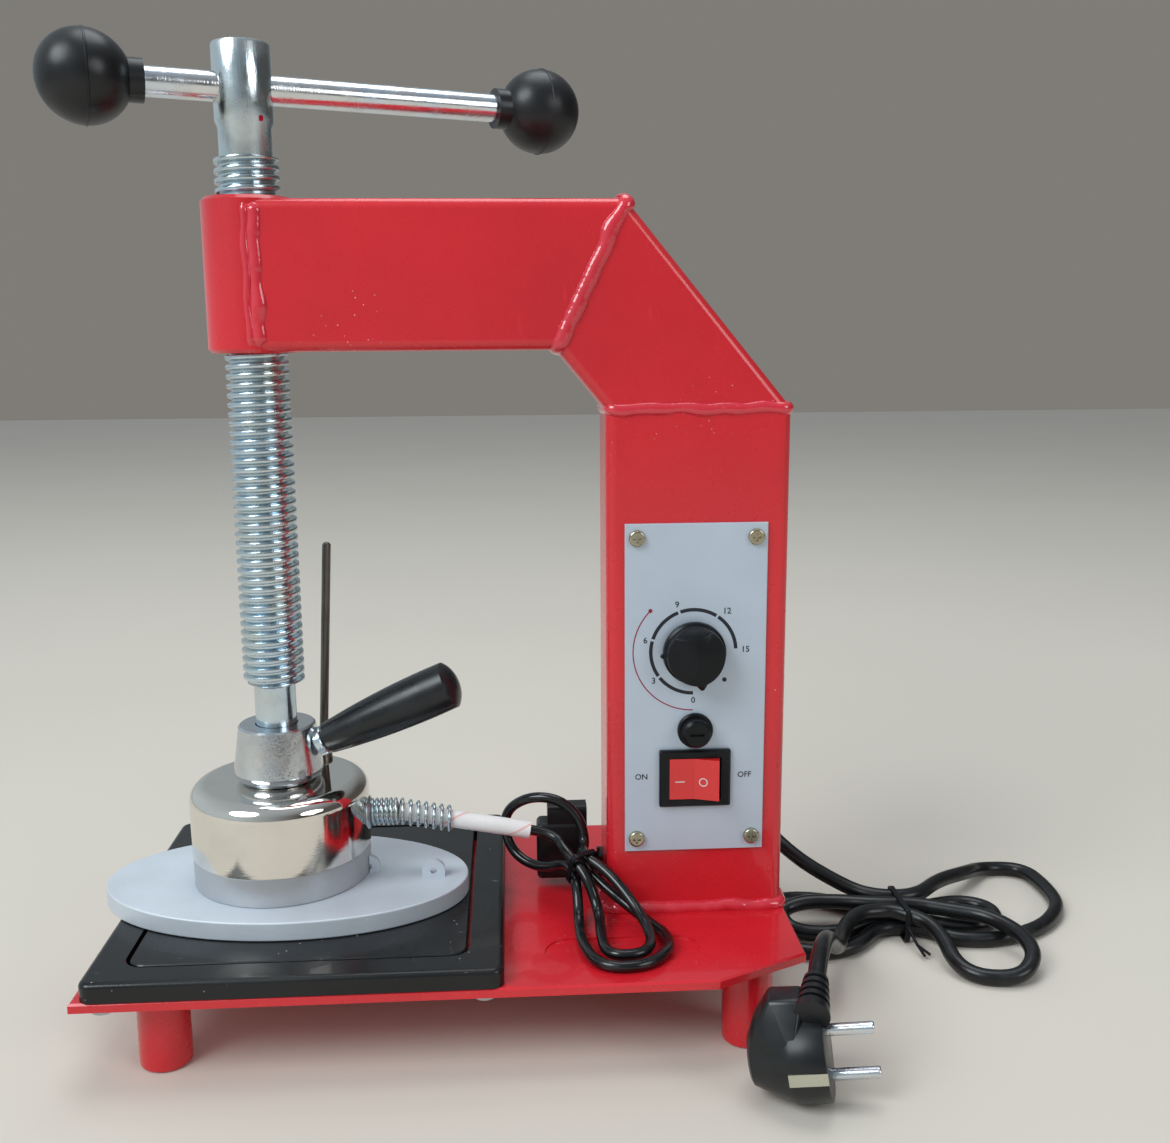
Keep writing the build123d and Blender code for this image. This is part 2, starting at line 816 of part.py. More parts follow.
# Upper press plate, oval, with two small eyed lugs
plate_place = (screw_x + plate_from_screw_x, plate_from_screw_y)
plate_screw_spots = three_spots(plate_screw_circle, 0)
with BuildPart() as press_plate:
    with BuildSketch(Plane.XY.offset(plate_low)):
        with Locations(Location((*plate_place, 0), (0, 0, plate_turn))):
            Ellipse(plate_half_length, plate_half_width)
    extrude(amount=plate_thickness)
    fillet(press_plate.edges(), plate_edge)
    for lug_x, lug_y in ((lug_far_x, lug_far_y), (lug_near_x, lug_near_y)):
        lug_plane = Plane(origin=(screw_x + lug_x, lug_y, plate_high), x_dir=(1, 0, 0), z_dir=(0, -1, 0))
        with BuildSketch(lug_plane):
            with BuildLine():
                Line((-lug_width / 2, -plate_edge), (lug_width / 2, -plate_edge))
                Line((lug_width / 2, -plate_edge), (lug_width / 2, lug_height - lug_width / 2))
                ThreePointArc(
                    (lug_width / 2, lug_height - lug_width / 2),
                    (0, lug_height),
                    (-lug_width / 2, lug_height - lug_width / 2),
                )
                Line((-lug_width / 2, lug_height - lug_width / 2), (-lug_width / 2, -plate_edge))
            make_face()
        extrude(amount=lug_thickness / 2, both=True)
        with BuildSketch(lug_plane):
            with Locations((0, lug_height - lug_width / 2)):
                Circle(lug_hole_radius)
        extrude(amount=lug_thickness, both=True, mode=Mode.SUBTRACT)
    with Locations((screw_x, 0, plate_high)):
        Cylinder(
            block_radius + lug_ring_gap,
            lug_height,
            align=(Align.CENTER, Align.CENTER, Align.MIN),
            mode=Mode.SUBTRACT,
        )
    with BuildSketch(Plane.XY.offset(plate_low)):
        with Locations(*plate_screw_spots):
            Circle(plate_screw_head_radius + fit_gap)
    extrude(amount=plate_screw_head_height, mode=Mode.SUBTRACT)
    with BuildSketch(Plane.XY.offset(plate_low)):
        with Locations(*plate_screw_spots):
            Circle(plate_screw_radius + fit_gap)
    extrude(amount=plate_thickness, mode=Mode.SUBTRACT)
write("press_plate", press_plate.part)

with BuildPart() as plate_screws:
    with BuildSketch(Plane.XY.offset(plate_low + seat_gap)):
        with Locations(*plate_screw_spots):
            Circle(plate_screw_head_radius)
    extrude(amount=plate_screw_head_height - seat_gap)
    with BuildSketch(Plane.XY.offset(plate_low + seat_gap)):
        with Locations(*plate_screw_spots):
            Circle(plate_screw_radius)
    extrude(amount=plate_thickness + plate_screw_depth - seat_gap)
write("press_plate_screws", plate_screws.part)

# Heater block with the step that centres the cup
head_bolt_spots = three_spots(head_bolt_circle, 60)
step_top = block_top + block_step_height
with BuildPart() as heater_block:
    with BuildSketch(Plane.XY.offset(plate_high)):
        with Locations((screw_x, 0)):
            Circle(block_radius)
    extrude(amount=block_height)
    chamfer(heater_block.edges(), block_edge)
    with BuildSketch(Plane.XY.offset(block_top)):
        with Locations((screw_x, 0)):
            Circle(block_step_radius)
    extrude(amount=block_step_height)
    with BuildSketch(Plane.XY.offset(plate_high)):
        with Locations(*plate_screw_spots):
            Circle(plate_screw_radius + fit_gap)
    extrude(amount=plate_screw_depth + fit_gap, mode=Mode.SUBTRACT)
    with BuildSketch(Plane.XY.offset(step_top)):
        with Locations(*head_bolt_spots):
            Circle(head_bolt_radius + fit_gap)
    extrude(amount=-head_bolt_depth - fit_gap, mode=Mode.SUBTRACT)
write("heater_block", heater_block.part)


def disc(low, radius, thickness, hole):
    """A round disc about the screw's axis with three bolt holes."""
    with BuildPart() as piece:
        with BuildSketch(Plane.XY.offset(low)):
            with Locations((screw_x, 0)):
                Circle(radius)
            with Locations(*head_bolt_spots):
                Circle(hole, mode=Mode.SUBTRACT)
        extrude(amount=thickness)
    return piece.part


upper_element_low = step_top + fit_gap
clamp_low = upper_element_low + element_thickness + fit_gap
clamp_high = clamp_low + clamp_disc_thickness
insulation_low = clamp_high + fit_gap
write(
    "upper_heating_element",
    disc(upper_element_low, upper_element_radius, element_thickness, head_bolt_radius + fit_gap),
)
write("clamp_disc", disc(clamp_low, upper_element_radius, clamp_disc_thickness, head_bolt_radius + fit_gap))
write(
    "upper_insulation",
    disc(insulation_low, upper_element_radius, insulation_thickness, head_bolt_head_radius + seat_gap),
)

with BuildPart() as head_bolts:
    with BuildSketch(Plane.XY.offset(clamp_high + fit_gap)):
        with Locations(*head_bolt_spots):
            Circle(head_bolt_head_radius)
    extrude(amount=head_bolt_head_height)
    with BuildSketch(Plane.XY.offset(clamp_high + fit_gap)):
        with Locations(*head_bolt_spots):
            Circle(head_bolt_radius)
    extrude(amount=-head_bolt_depth - clamp_high + step_top)
write("head_bolts", head_bolts.part)

# Cup cover over the head
nipple_plane = Plane(
    origin=(screw_x + cup_radius, 0, deck + gland_height),
    x_dir=(0, 1, 0),
    z_dir=(1, 0, 0),
)
rod_foot = Vector(screw_x + rod_foot_x, rod_foot_y, cup_top)
rod_top = Vector(screw_x + rod_top_x, rod_top_y, deck + rod_top_height)
with BuildPart() as cup_cover:
    with BuildSketch(Plane.XY.offset(block_top)):
        with Locations((screw_x, 0)):
            Circle(cup_radius)
    extrude(amount=cup_height)
    fillet(cup_cover.edges().sort_by(Axis.Z)[-1], cup_round)
    offset(amount=-cup_wall, openings=cup_cover.faces().sort_by(Axis.Z)[0])
    with BuildSketch(Plane.XY.offset(cup_top - 2 * cup_wall)):
        with Locations((screw_x, 0)):
            Circle(spigot_radius + fit_gap)
        with Locations((rod_foot.X, rod_foot.Y)):
            Circle(rod_radius + fit_gap)
    extrude(amount=2 * cup_wall + overrun, mode=Mode.SUBTRACT)
    with BuildSketch(nipple_plane.offset(-2 * cup_wall)):
        Circle(nipple_radius - nipple_into_cup + fit_gap)
    extrude(amount=2 * cup_wall + overrun, mode=Mode.SUBTRACT)
write("cup_cover", cup_cover.part)

# Collar: turned cone with a spigot through the cup, a blind bore for the screw and three tapped holes
bore_low = deck + screw_foot - washer_thickness - 2 * fit_gap
wide_z = collar_low + collar_wide_height
set_screw_height = deck + (groove_low + groove_high) / 2
handle_plane = Plane(
    origin=(screw_x, 0, deck + handle_axis_height),
    x_dir=(math.sin(math.radians(handle_turn)), -math.cos(math.radians(handle_turn)), 0),
    z_dir=(
        math.cos(math.radians(handle_rise)) * math.cos(math.radians(handle_turn)),
        math.cos(math.radians(handle_rise)) * math.sin(math.radians(handle_turn)),
        math.sin(math.radians(handle_rise)),
    ),
)


def set_screw_plane(angle):
    """A plane at the screw's axis that looks out along one set screw."""
    out = (math.cos(math.radians(angle)), math.sin(math.radians(angle)), 0)
    return Plane(origin=(screw_x, 0, set_screw_height), x_dir=(0, 0, 1), z_dir=out)


with BuildPart() as collar:
    with BuildSketch(Plane(origin=(screw_x, 0, 0), x_dir=(1, 0, 0), z_dir=(0, -1, 0))):
        with BuildLine():
            Polyline(
                (0, collar_low - spigot_length),
                (spigot_radius, collar_low - spigot_length),
                (spigot_radius, collar_low),
                (collar_foot_radius, collar_low),
            )
            ThreePointArc(
                (collar_foot_radius, collar_low),
                (collar_round_radius, collar_low + collar_round_height),
                (collar_wide_radius, wide_z),
            )
            Polyline(
                (collar_wide_radius, wide_z),
                (collar_top_radius, collar_high - collar_edge),
                (collar_top_radius - collar_edge, collar_high),
                (0, collar_high),
                (0, collar_low - spigot_length),
            )
        make_face()
    revolve(axis=Axis((screw_x, 0, 0), (0, 0, 1)))
    with BuildSketch(Plane.XY.offset(bore_low)):
        with Locations((screw_x, 0)):
            Circle(lower_neck_radius + collar_bore_gap)
    extrude(amount=collar_high - bore_low, mode=Mode.SUBTRACT)
    for angle in set_screw_angles:
        with BuildSketch(set_screw_plane(angle)):
            Circle(set_screw_radius + fit_gap)
        extrude(amount=collar_wide_radius + overrun, mode=Mode.SUBTRACT)
    with BuildSketch(handle_plane.offset(ferrule_start - stud_into_collar)):
        Circle(stud_radius + fit_gap)
    extrude(amount=2 * stud_into_collar, mode=Mode.SUBTRACT)
    with BuildSketch(handle_plane.offset(ferrule_start - fit_gap)):
        Circle(ferrule_radius + fit_gap)
    extrude(amount=ferrule_length, mode=Mode.SUBTRACT)
write("collar", collar.part)

with BuildPart() as spigot_nut:
    with BuildSketch(Plane.XY.offset(cup_top - cup_wall - spigot_nut_height - fit_gap)):
        with Locations((screw_x, 0)):
            RegularPolygon(spigot_nut_across / 2, 6, major_radius=False)
            Circle(spigot_radius + fit_gap, mode=Mode.SUBTRACT)
    extrude(amount=spigot_nut_height)
write("spigot_nut", spigot_nut.part)

write(
    "thrust_washer",
    drum(Plane(origin=(screw_x, 0, bore_low + fit_gap)), lower_neck_radius, washer_thickness),
)

set_screw_tip = groove_radius + 2 * seat_gap
set_screw_shoulder = lower_neck_radius + collar_bore_gap
with BuildPart() as set_screws:
    for angle in set_screw_angles:
        with BuildSketch(set_screw_plane(angle).offset(set_screw_tip)):
            Circle(set_screw_point_radius)
        extrude(amount=set_screw_shoulder - set_screw_tip)
        with BuildSketch(set_screw_plane(angle).offset(set_screw_shoulder)):
            Circle(set_screw_radius)
        extrude(amount=collar_wide_radius - set_screw_sunk - set_screw_shoulder)
write("collar_set_screws", set_screws.part)

# Handle: stud with a round shoulder, and the grip
with BuildPart() as handle_stud:
    with BuildSketch(handle_plane.offset(ferrule_start - stud_into_collar + fit_gap)):
        Circle(stud_radius)
    extrude(amount=stud_into_collar + ferrule_length + stud_into_grip)
    with BuildSketch(handle_plane.offset(ferrule_start)):
        Circle(ferrule_radius)
    extrude(amount=ferrule_length)
    rim_length = math.tau * (ferrule_radius - ferrule_edge)
    chamfer(handle_stud.edges().filter_by(lambda edge: edge.length > rim_length), ferrule_edge)
write("handle_stud", handle_stud.part)

grip_start = ferrule_start + ferrule_length + fit_gap
grip_plane = handle_plane.offset(grip_start)
grip_bend = grip_length * grip_bend_share
grip_side = grip_length - grip_shoulder
with BuildPart() as grip:
    with BuildSketch(Plane(origin=grip_plane.origin, x_dir=grip_plane.x_dir, z_dir=grip_plane.y_dir * -1)):
        with BuildLine():
            Polyline(
                (0, 0),
                (grip_near_radius - grip_near_round, 0),
                (grip_near_radius, grip_near_round),
            )
            Spline(
                (grip_near_radius, grip_near_round),
                (grip_mid_radius, grip_bend),
                (grip_far_radius, grip_side),
            )
            Spline((grip_far_radius, grip_side), (0, grip_length), tangents=[(-1, 1), (-1, 0)])
            Line((0, grip_length), (0, 0))
        make_face()
    revolve(axis=Axis(grip_plane.origin, grip_plane.z_dir))
    with BuildSketch(grip_plane):
        Circle(stud_radius + fit_gap)
    extrude(amount=stud_into_grip + fit_gap, mode=Mode.SUBTRACT)
write("handle_grip", grip.part)

# Guide rod with its foot on the cup
rod_plane = Plane(origin=rod_foot, x_dir=(0, 1, 0), z_dir=rod_top - rod_foot)
with BuildPart() as guide_rod:
    with BuildSketch(Plane.XY.offset(cup_top)):
        with Locations((rod_foot.X, rod_foot.Y)):
            Circle(rod_base_radius)
    extrude(amount=rod_base_height)
    chamfer(guide_rod.faces().sort_by(Axis.Z)[-1].edges(), rod_base_edge)
    with BuildSketch(rod_plane.offset(rod_base_height / 2)):
        Circle(rod_radius)
    extrude(amount=(rod_top - rod_foot).length - rod_base_height / 2)
    fillet(guide_rod.edges().sort_by(Axis.Z)[-1], rod_end_round)
write("guide_rod", guide_rod.part)

# Cable outlet: nipple, sleeve and the spring over it
with BuildPart() as nipple:
    with BuildSketch(nipple_plane.offset(-nipple_into_cup)):
        Circle(nipple_radius - nipple_into_cup)
    extrude(amount=nipple_into_cup)
    with BuildSketch(nipple_plane):
        Circle(nipple_seat_radius)
    with BuildSketch(nipple_plane.offset(nipple_seat_length)):
        Circle(nipple_radius)
    loft()
    with BuildSketch(nipple_plane.offset(nipple_seat_length)):
        Circle(nipple_radius)
    extrude(amount=nipple_length - nipple_seat_length)
nipple_body = nipple.part - cup_cover.part
write("gland_nipple", nipple_body)

sleeve_tilt = math.radians(sleeve_drop)
sleeve_out = Vector(math.cos(sleeve_tilt), 0, -math.sin(sleeve_tilt))
sleeve_clearance = seat_gap + sleeve_radius * math.sin(sleeve_tilt)
sleeve_foot = nipple_plane.origin + Vector(nipple_length + sleeve_clearance, 0, 0)
sleeve_plane = Plane(origin=sleeve_foot, x_dir=(0, 1, 0), z_dir=sleeve_out)
write("lead_sleeve", drum(sleeve_plane, sleeve_radius, sleeve_length))

spring_radius = sleeve_radius + spring_gap + spring_wire_radius
spring_pitch = spring_length / spring_turns
spring_start = spring_wire_radius + spring_radius * math.tan(sleeve_tilt)
with BuildPart() as spring:
    with BuildLine() as coil:
        Helix(spring_pitch, spring_length - spring_pitch, spring_radius)
    with BuildSketch(Plane(origin=coil.line @ 0, z_dir=coil.line % 0)):
        Circle(spring_wire_radius)
    sweep(is_frenet=True)
write("relief_spring", sleeve_plane.offset(spring_start).location * spring.part)


# Cords: unbroken tubes on pairs of arcs that meet between the route's points
def biarc_path(route):
    """The edges of a path through points with given directions, two tangent arcs from each to the next."""
    edges = []
    least_radius = math.inf
    for (point, heading), (point_next, heading_next) in zip(route, route[1:]):
        start = Vector(*point)
        end = Vector(*point_next)
        out = Vector(*heading).normalized()
        into = Vector(*heading_next).normalized()
        chord = end - start
        both = out + into
        spread = 2 * (1 - out.dot(into))
        along = chord.dot(both)
        if out.cross(chord).length + into.cross(chord).length < 1e-6:
            edges.append(Edge.make_line(start, end))
            continue
        if spread < 1e-9:
            reach = chord.dot(chord) / (2 * along)
        else:
            reach = (-along + math.sqrt(along**2 + spread * chord.dot(chord))) / spread
        middle = (start + end + (out - into) * reach) / 2
        middle_heading = ((end - into * reach) - (start + out * reach)).normalized()
        for arc_start, arc_heading, arc_end in ((start, out, middle), (middle, middle_heading, end)):
            edges.append(Edge.make_tangent_arc(arc_start, arc_heading, arc_end))
            arc_chord = arc_end - arc_start
            sine = arc_heading.cross(arc_chord).length / arc_chord.length
            if sine > 1e-6:
                least_radius = min(least_radius, arc_chord.length / 2 / sine)
    return edges, least_radius


def least_gap(edges, radius):
    """The least gap of a tube to itself, measured on points along its path."""
    samples = []
    run = 0.0
    for edge in edges:
        steps = max(2, round(edge.length / radius * 2))
        for step in range(steps):
            samples.append((run + edge.length * step / steps, edge @ (step / steps)))
        run += edge.length
    gap = math.inf
    for first, (run_first, point_first) in enumerate(samples):
        for run_second, point_second in samples[first + 1:]:
            if run_second - run_first > 8 * radius:
                gap = min(gap, (point_second - point_first).length - 2 * radius)
    return gap


def tube(name, route, radius):
    """An unbroken round tube along a route of points and headings."""
    edges, least_radius = biarc_path(route)
    path = Wire(edges)
    with BuildPart() as cord:
        with BuildSketch(Plane(origin=path @ 0, z_dir=path % 0)):
            Circle(radius)
        sweep(path=path)
    share = cord.part.volume / (math.pi * radius**2 * path.length)
    gap = least_gap(edges, radius)
    print(
        f"{name}: length {path.length:.1f}, least radius {least_radius:.1f},"
        f" least gap to itself {gap:.2f}, volume share {share:.4f}"
    )
    write(name, cord.part)
    return edges


def ribbed(plane, foot_radius, tip_radius, length):
    """A tapered cord boot with grooves, standing on a plane."""
    pitch = length / (rib_count + 1)
    with BuildPart() as boot:
        with BuildSketch(Plane(origin=plane.origin, x_dir=plane.x_dir, z_dir=plane.y_dir * -1)):
            with BuildLine():
                corners = [(0, 0), (foot_radius, 0)]
                for rib in range(1, rib_count + 1):
                    groove_low = rib * pitch
                    groove_high = groove_low + pitch * rib_share
                    low_radius = foot_radius + (tip_radius - foot_radius) * groove_low / length
                    high_radius = foot_radius + (tip_radius - foot_radius) * groove_high / length
                    corners.append((low_radius, groove_low))
                    corners.append((low_radius - rib_depth, groove_low))
                    corners.append((high_radius - rib_depth, groove_high))
                    corners.append((high_radius, groove_high))
                corners += [(tip_radius, length), (0, length)]
                Polyline(*corners, close=True)
            make_face()
        revolve(axis=Axis(plane.origin, plane.z_dir))
    return boot.part


def grip_of(edges, radius, plane, band):
    """The window on a plane that the cord's surface needs within a band on both sides of that plane."""
    reaches = []
    for edge in edges:
        steps = max(2, round(edge.length))
        for step in range(steps):
            share = step / steps
            point = plane.to_local_coords(edge @ share)
            if abs(point.Z) > band + radius:
                continue
            heading = plane.to_local_coords(edge @ share + edge % share) - point
            side = heading.cross(Vector(0, 1, 0)).normalized()
            upward = heading.cross(side).normalized()
            for turn in range(24):
                angle = math.tau * turn / 24
                rim = point + (side * math.cos(angle) + upward * math.sin(angle)) * radius
                if abs(rim.Z) <= band:
                    reaches.append((rim.X, rim.Y))
    lows = [min(reach[axis] for reach in reaches) for axis in range(2)]
    highs = [max(reach[axis] for reach in reaches) for axis in range(2)]
    return lows, highs


def tie(name, edges, radius, plane, tail_side, tail_steps):
    """A flat band round the cord's strands, with a thin tail that forks after its first step."""
    lows, highs = grip_of(edges, radius, plane, tie_width / 2)
    middle = ((lows[0] + highs[0]) / 2, (lows[1] + highs[1]) / 2)
    width = highs[0] - lows[0] + 2 * tie_gap
    height = highs[1] - lows[1] + 2 * tie_gap
    with BuildPart() as band:
        with BuildSketch(plane):
            with Locations(middle):
                RectangleRounded(
                    width + 2 * tie_thickness,
                    height + 2 * tie_thickness,
                    tie_corner + tie_thickness,
                )
                RectangleRounded(width, height, tie_corner, mode=Mode.SUBTRACT)
        extrude(amount=tie_width / 2, both=True)
    print(f"{name}: window {width:.1f} by {height:.1f}, middle {middle[0]:.1f}, {middle[1]:.1f}")
    tail_u = middle[0] + tail_side * (width + tie_thickness) / 2
    tail_foot = plane.from_local_coords(Vector(tail_u, middle[1], 0))
    fork = tail_foot + Vector(*tail_steps[0])
    piece = band.part + rod_between(tail_foot, fork)
    for step in tail_steps[1:]:
        piece = piece + rod_between(fork, fork + Vector(*step))
    write(name, piece)


def rod_between(start, end):
    """A thin straight rod of the ties' tails between two points."""
    return drum(Plane(origin=start, z_dir=end - start), tie_tail_radius, (end - start).length)


def from_column(x, y, z):
    """A point from the column's left face, the middle plane and the base plate's top."""
    return (column_left + x, y, deck + z)


# Head lead: a loop of two turns on the base plate, a tied waist and a standing loop
sleeve_end = sleeve_foot + sleeve_out * sleeve_length
lead_start = sleeve_end + sleeve_out * soft_gap
lead_straight = lead_start + sleeve_out * 2 * lead_radius
nose_face_y = connector_front - connector_nose_length
nose_x = column_left - connector_nose_from_column
nose_z = deck + connector_nose_height
lead_route = [
    (tuple(lead_start), tuple(sleeve_out)),
    (tuple(lead_straight), tuple(sleeve_out)),
    (from_column(-14.7, -17.6, 24.0), (0.55, -0.7, -0.4)),
    (from_column(-4.9, -40.0, 4.6), (-0.03, -1.0, -0.1)),
    (from_column(5.3, -67.5, 3.8), (1.0, 0.0, 0.0)),
    (from_column(15.4, -50.0, 6.0), (-0.25, 1.0, 0.3)),
    (from_column(-7.6, -18.0, 25.0), (-0.72, 0.62, 0.3)),
    (from_column(-9.9, -1.0, 31.0), (-0.15, 0.2, 1.0)),
    (from_column(-27.2, 5.5, 46.3), (-1.0, 0.3, 0.0)),
    (from_column(-46.0, 15.0, 28.0), (0.05, 0.0, -1.0)),
    (from_column(-35.7, 6.5, 14.0), (0.78, -0.6, -0.15)),
    (from_column(-15.3, -15.4, 17.7), (0.15, -0.96, -0.25)),
    (from_column(-13.9, -42.0, 2.6), (0.0, -1.0, 0.0)),
    (from_column(3.8, -75.0, 2.6), (1.0, 0.0, 0.0)),
    (from_column(23.3, -50.0, 2.6), (-0.1, 1.0, 0.0)),
    (from_column(16.8, -38.0, 3.6), (-0.6, 0.75, 0.22)),
    (from_column(-7.8, -15.2, 17.6), (-0.62, 0.7, 0.4)),
    ((nose_x, nose_face_y - fit_gap - 2 * lead_radius, nose_z), (0.0, 1.0, 0.0)),
    ((nose_x, nose_face_y - fit_gap, nose_z), (0.0, 1.0, 0.0)),
]
lead_edges = tube("head_lead", lead_route, lead_radius)
lead_waist = Plane(
    origin=from_column(-11.3, -16.5, 21.0),
    x_dir=(0.83, 0.56, 0),
    z_dir=Vector(0.5, -0.75, -0.32),
)
lead_tie_tail = [(1.8, -1.0, 3.0), (1.0, -4.0, 3.0), (0.5, 0.5, 4.5)]
tie("lead_tie", lead_edges, lead_radius, lead_waist, 1, lead_tie_tail)

# Connector of the head lead and its socket on the column's left face
connector_face = column_left - socket_thickness - fit_gap
connector_body_plane = Plane.YZ.offset(connector_face - connector_neck_length)
with BuildPart() as lead_connector:
    with BuildSketch(connector_body_plane):
        with Locations((socket_y, deck + connector_low + connector_height / 2)):
            RectangleRounded(connector_width, connector_height, connector_edge)
    extrude(amount=-connector_length)
    fillet(lead_connector.faces().sort_by(Axis.X)[0].edges(), connector_edge)
    with BuildSketch(connector_body_plane):
        with Locations((socket_y, deck + connector_low + connector_top_height / 2)):
            RectangleRounded(
                connector_width - 2 * connector_top_inset,
                connector_top_height,
                connector_edge,
            )
    extrude(amount=-connector_top_length)
    with BuildSketch(Plane.YZ.offset(connector_face)):
        with Locations((socket_y, socket_z)):
            RectangleRounded(connector_neck_width, connector_neck_height, connector_edge)
    extrude(amount=-(connector_neck_length + connector_edge))
    with BuildSketch(Plane(origin=(nose_x, nose_face_y, nose_z), x_dir=(1, 0, 0), z_dir=(0, 1, 0))):
        Circle(connector_nose_radius)
    extrude(amount=2 * connector_nose_length)
write("lead_connector", lead_connector.part)

with BuildPart() as lead_socket:
    with BuildSketch(Plane.YZ.offset(column_left)):
        with Locations((socket_y, socket_z)):
            RectangleRounded(
                connector_neck_width + 2 * socket_margin,
                connector_neck_height + 2 * socket_margin,
                connector_edge,
            )
    extrude(amount=-socket_thickness)
    with BuildSketch(Plane.YZ.offset(column_left)):
        with Locations((socket_y - socket_boss_forward, socket_z)):
            Rectangle(socket_boss_width, socket_boss_height)
    extrude(amount=tube_wall)
write("lead_socket", lead_socket.part)

# Control panel with its holes, and its four screws
timer_x = panel_x + timer_from_middle
timer_z = deck + timer_height
fuse_z = deck + fuse_height
switch_z = deck + switch_height
timer_plane = Plane(origin=(timer_x, panel_face, timer_z), x_dir=(1, 0, 0), z_dir=(0, -1, 0))
fuse_plane = Plane(origin=(panel_x, panel_face, fuse_z), x_dir=(1, 0, 0), z_dir=(0, -1, 0))
switch_plane = Plane(origin=(panel_x, panel_face, switch_z), x_dir=(1, 0, 0), z_dir=(0, -1, 0))
with BuildPart() as control_panel:
    with BuildSketch(panel_plane):
        Rectangle(panel_width, panel_height)
        with Locations(*panel_screw_spots):
            Circle(panel_screw_radius + fit_gap, mode=Mode.SUBTRACT)
    extrude(amount=-panel_thickness)
    chamfer(control_panel.faces().sort_by(Axis.Y)[0].outer_wire().edges(), panel_edge)
    with BuildSketch(timer_plane):
        Circle(timer_bush_radius + fit_gap)
    extrude(amount=-panel_thickness, mode=Mode.SUBTRACT)
    with BuildSketch(fuse_plane):
        Circle(fuse_body_radius + fit_gap)
    extrude(amount=-panel_thickness, mode=Mode.SUBTRACT)
    with BuildSketch(switch_plane):
        Rectangle(switch_body_width + 2 * fit_gap, switch_body_tall + 2 * fit_gap)
    extrude(amount=-panel_thickness, mode=Mode.SUBTRACT)
write("control_panel", control_panel.part)

with BuildPart() as panel_screws:
    with BuildSketch(panel_plane):
        with Locations(*panel_screw_spots):
            Circle(panel_screw_head_radius)
    extrude(amount=panel_screw_head_height)
    fillet(panel_screws.faces().sort_by(Axis.Y)[0:4].edges(), panel_screw_head_round)
    with BuildSketch(panel_plane.offset(panel_screw_head_height)):
        with Locations(*panel_screw_spots):
            Rectangle(panel_screw_head_radius, panel_screw_slot)
            Rectangle(panel_screw_slot, panel_screw_head_radius)
    extrude(amount=-panel_screw_slot_depth, mode=Mode.SUBTRACT)
    with BuildSketch(panel_plane):
        with Locations(*panel_screw_spots):
            Circle(panel_screw_radius)
    extrude(amount=-panel_screw_length)
write("panel_screws", panel_screws.part)

# Timer: body behind the panel with a bush through it, and the shaft with its knob
knob_foot = timer_bush_length + seat_gap
shaft_end = knob_foot + timer_cup_depth
with BuildPart() as timer_body:
    with BuildSketch(timer_plane.offset(-panel_thickness)):
        Rectangle(timer_body_width, timer_body_height)
    extrude(amount=-timer_body_depth)
    with BuildSketch(timer_plane.offset(-panel_thickness)):
        Circle(timer_bush_radius)
    extrude(amount=panel_thickness + timer_bush_length)
    with BuildSketch(timer_plane.offset(timer_bush_length)):
        Circle(shaft_radius + fit_gap)
    extrude(amount=-2 * timer_cup_depth - timer_bush_length, mode=Mode.SUBTRACT)
write("timer_body", timer_body.part)

with BuildPart() as timer_shaft:
    with BuildSketch(timer_plane.offset(-timer_cup_depth)):
        Circle(shaft_radius)
    extrude(amount=shaft_end + timer_cup_depth)
write("timer_shaft", timer_shaft.part)

pointer_angle = pointer_turn - 90
pointer_way = (math.cos(math.radians(pointer_angle)), 0, math.sin(math.radians(pointer_angle)))
pointer_plane = Plane(origin=timer_plane.origin, x_dir=pointer_way, z_dir=(0, -1, 0))
with BuildPart() as timer_knob:
    with BuildSketch(timer_plane.offset(knob_foot)):
        Circle(knob_face_radius)
    extrude(amount=knob_skirt_height)
    chamfer(timer_knob.faces().sort_by(Axis.Y)[0].edges(), knob_edge)
    with BuildSketch(pointer_plane.offset(knob_foot + knob_skirt_height)):
        with BuildLine():
            grip_top = -knob_body_radius + knob_grip_notch
            nose_start = knob_body_radius * nose_start_share
            Polyline(
                (grip_top, -knob_grip_width / 2),
                (nose_start, -knob_grip_width / 2),
                (knob_face_radius - knob_edge, 0),
                (nose_start, knob_grip_width / 2),
                (grip_top, knob_grip_width / 2),
                (grip_top + knob_grip_notch, 0),
                close=True,
            )
        make_face()
    extrude(amount=knob_grip_height)
    chamfer(timer_knob.faces().sort_by(Axis.Y)[0].edges(), knob_edge)
    with BuildSketch(timer_plane.offset(knob_foot)):
        Circle(shaft_radius + fit_gap)
    extrude(amount=timer_cup_depth + fit_gap, mode=Mode.SUBTRACT)
write("timer_knob", timer_knob.part)

# Fuse: holder through the panel, turning cap and glass fuse
cap_foot = fuse_flange_height + seat_gap
neck_end = cap_foot - fuse_neck_length
with BuildPart() as fuse_holder:
    with BuildSketch(fuse_plane):
        Circle(fuse_flange_radius)
    extrude(amount=fuse_flange_height)
    chamfer(fuse_holder.faces().sort_by(Axis.Y)[0].edges(), fuse_flange_edge)
    with BuildSketch(fuse_plane):
        Circle(fuse_body_radius)
    extrude(amount=-fuse_body_length)
    with BuildSketch(fuse_plane.offset(fuse_flange_height)):
        Circle(fuse_neck_radius + fit_gap)
    extrude(amount=-fuse_flange_height - fuse_body_length + fuse_cap_edge, mode=Mode.SUBTRACT)
write("fuse_holder", fuse_holder.part)

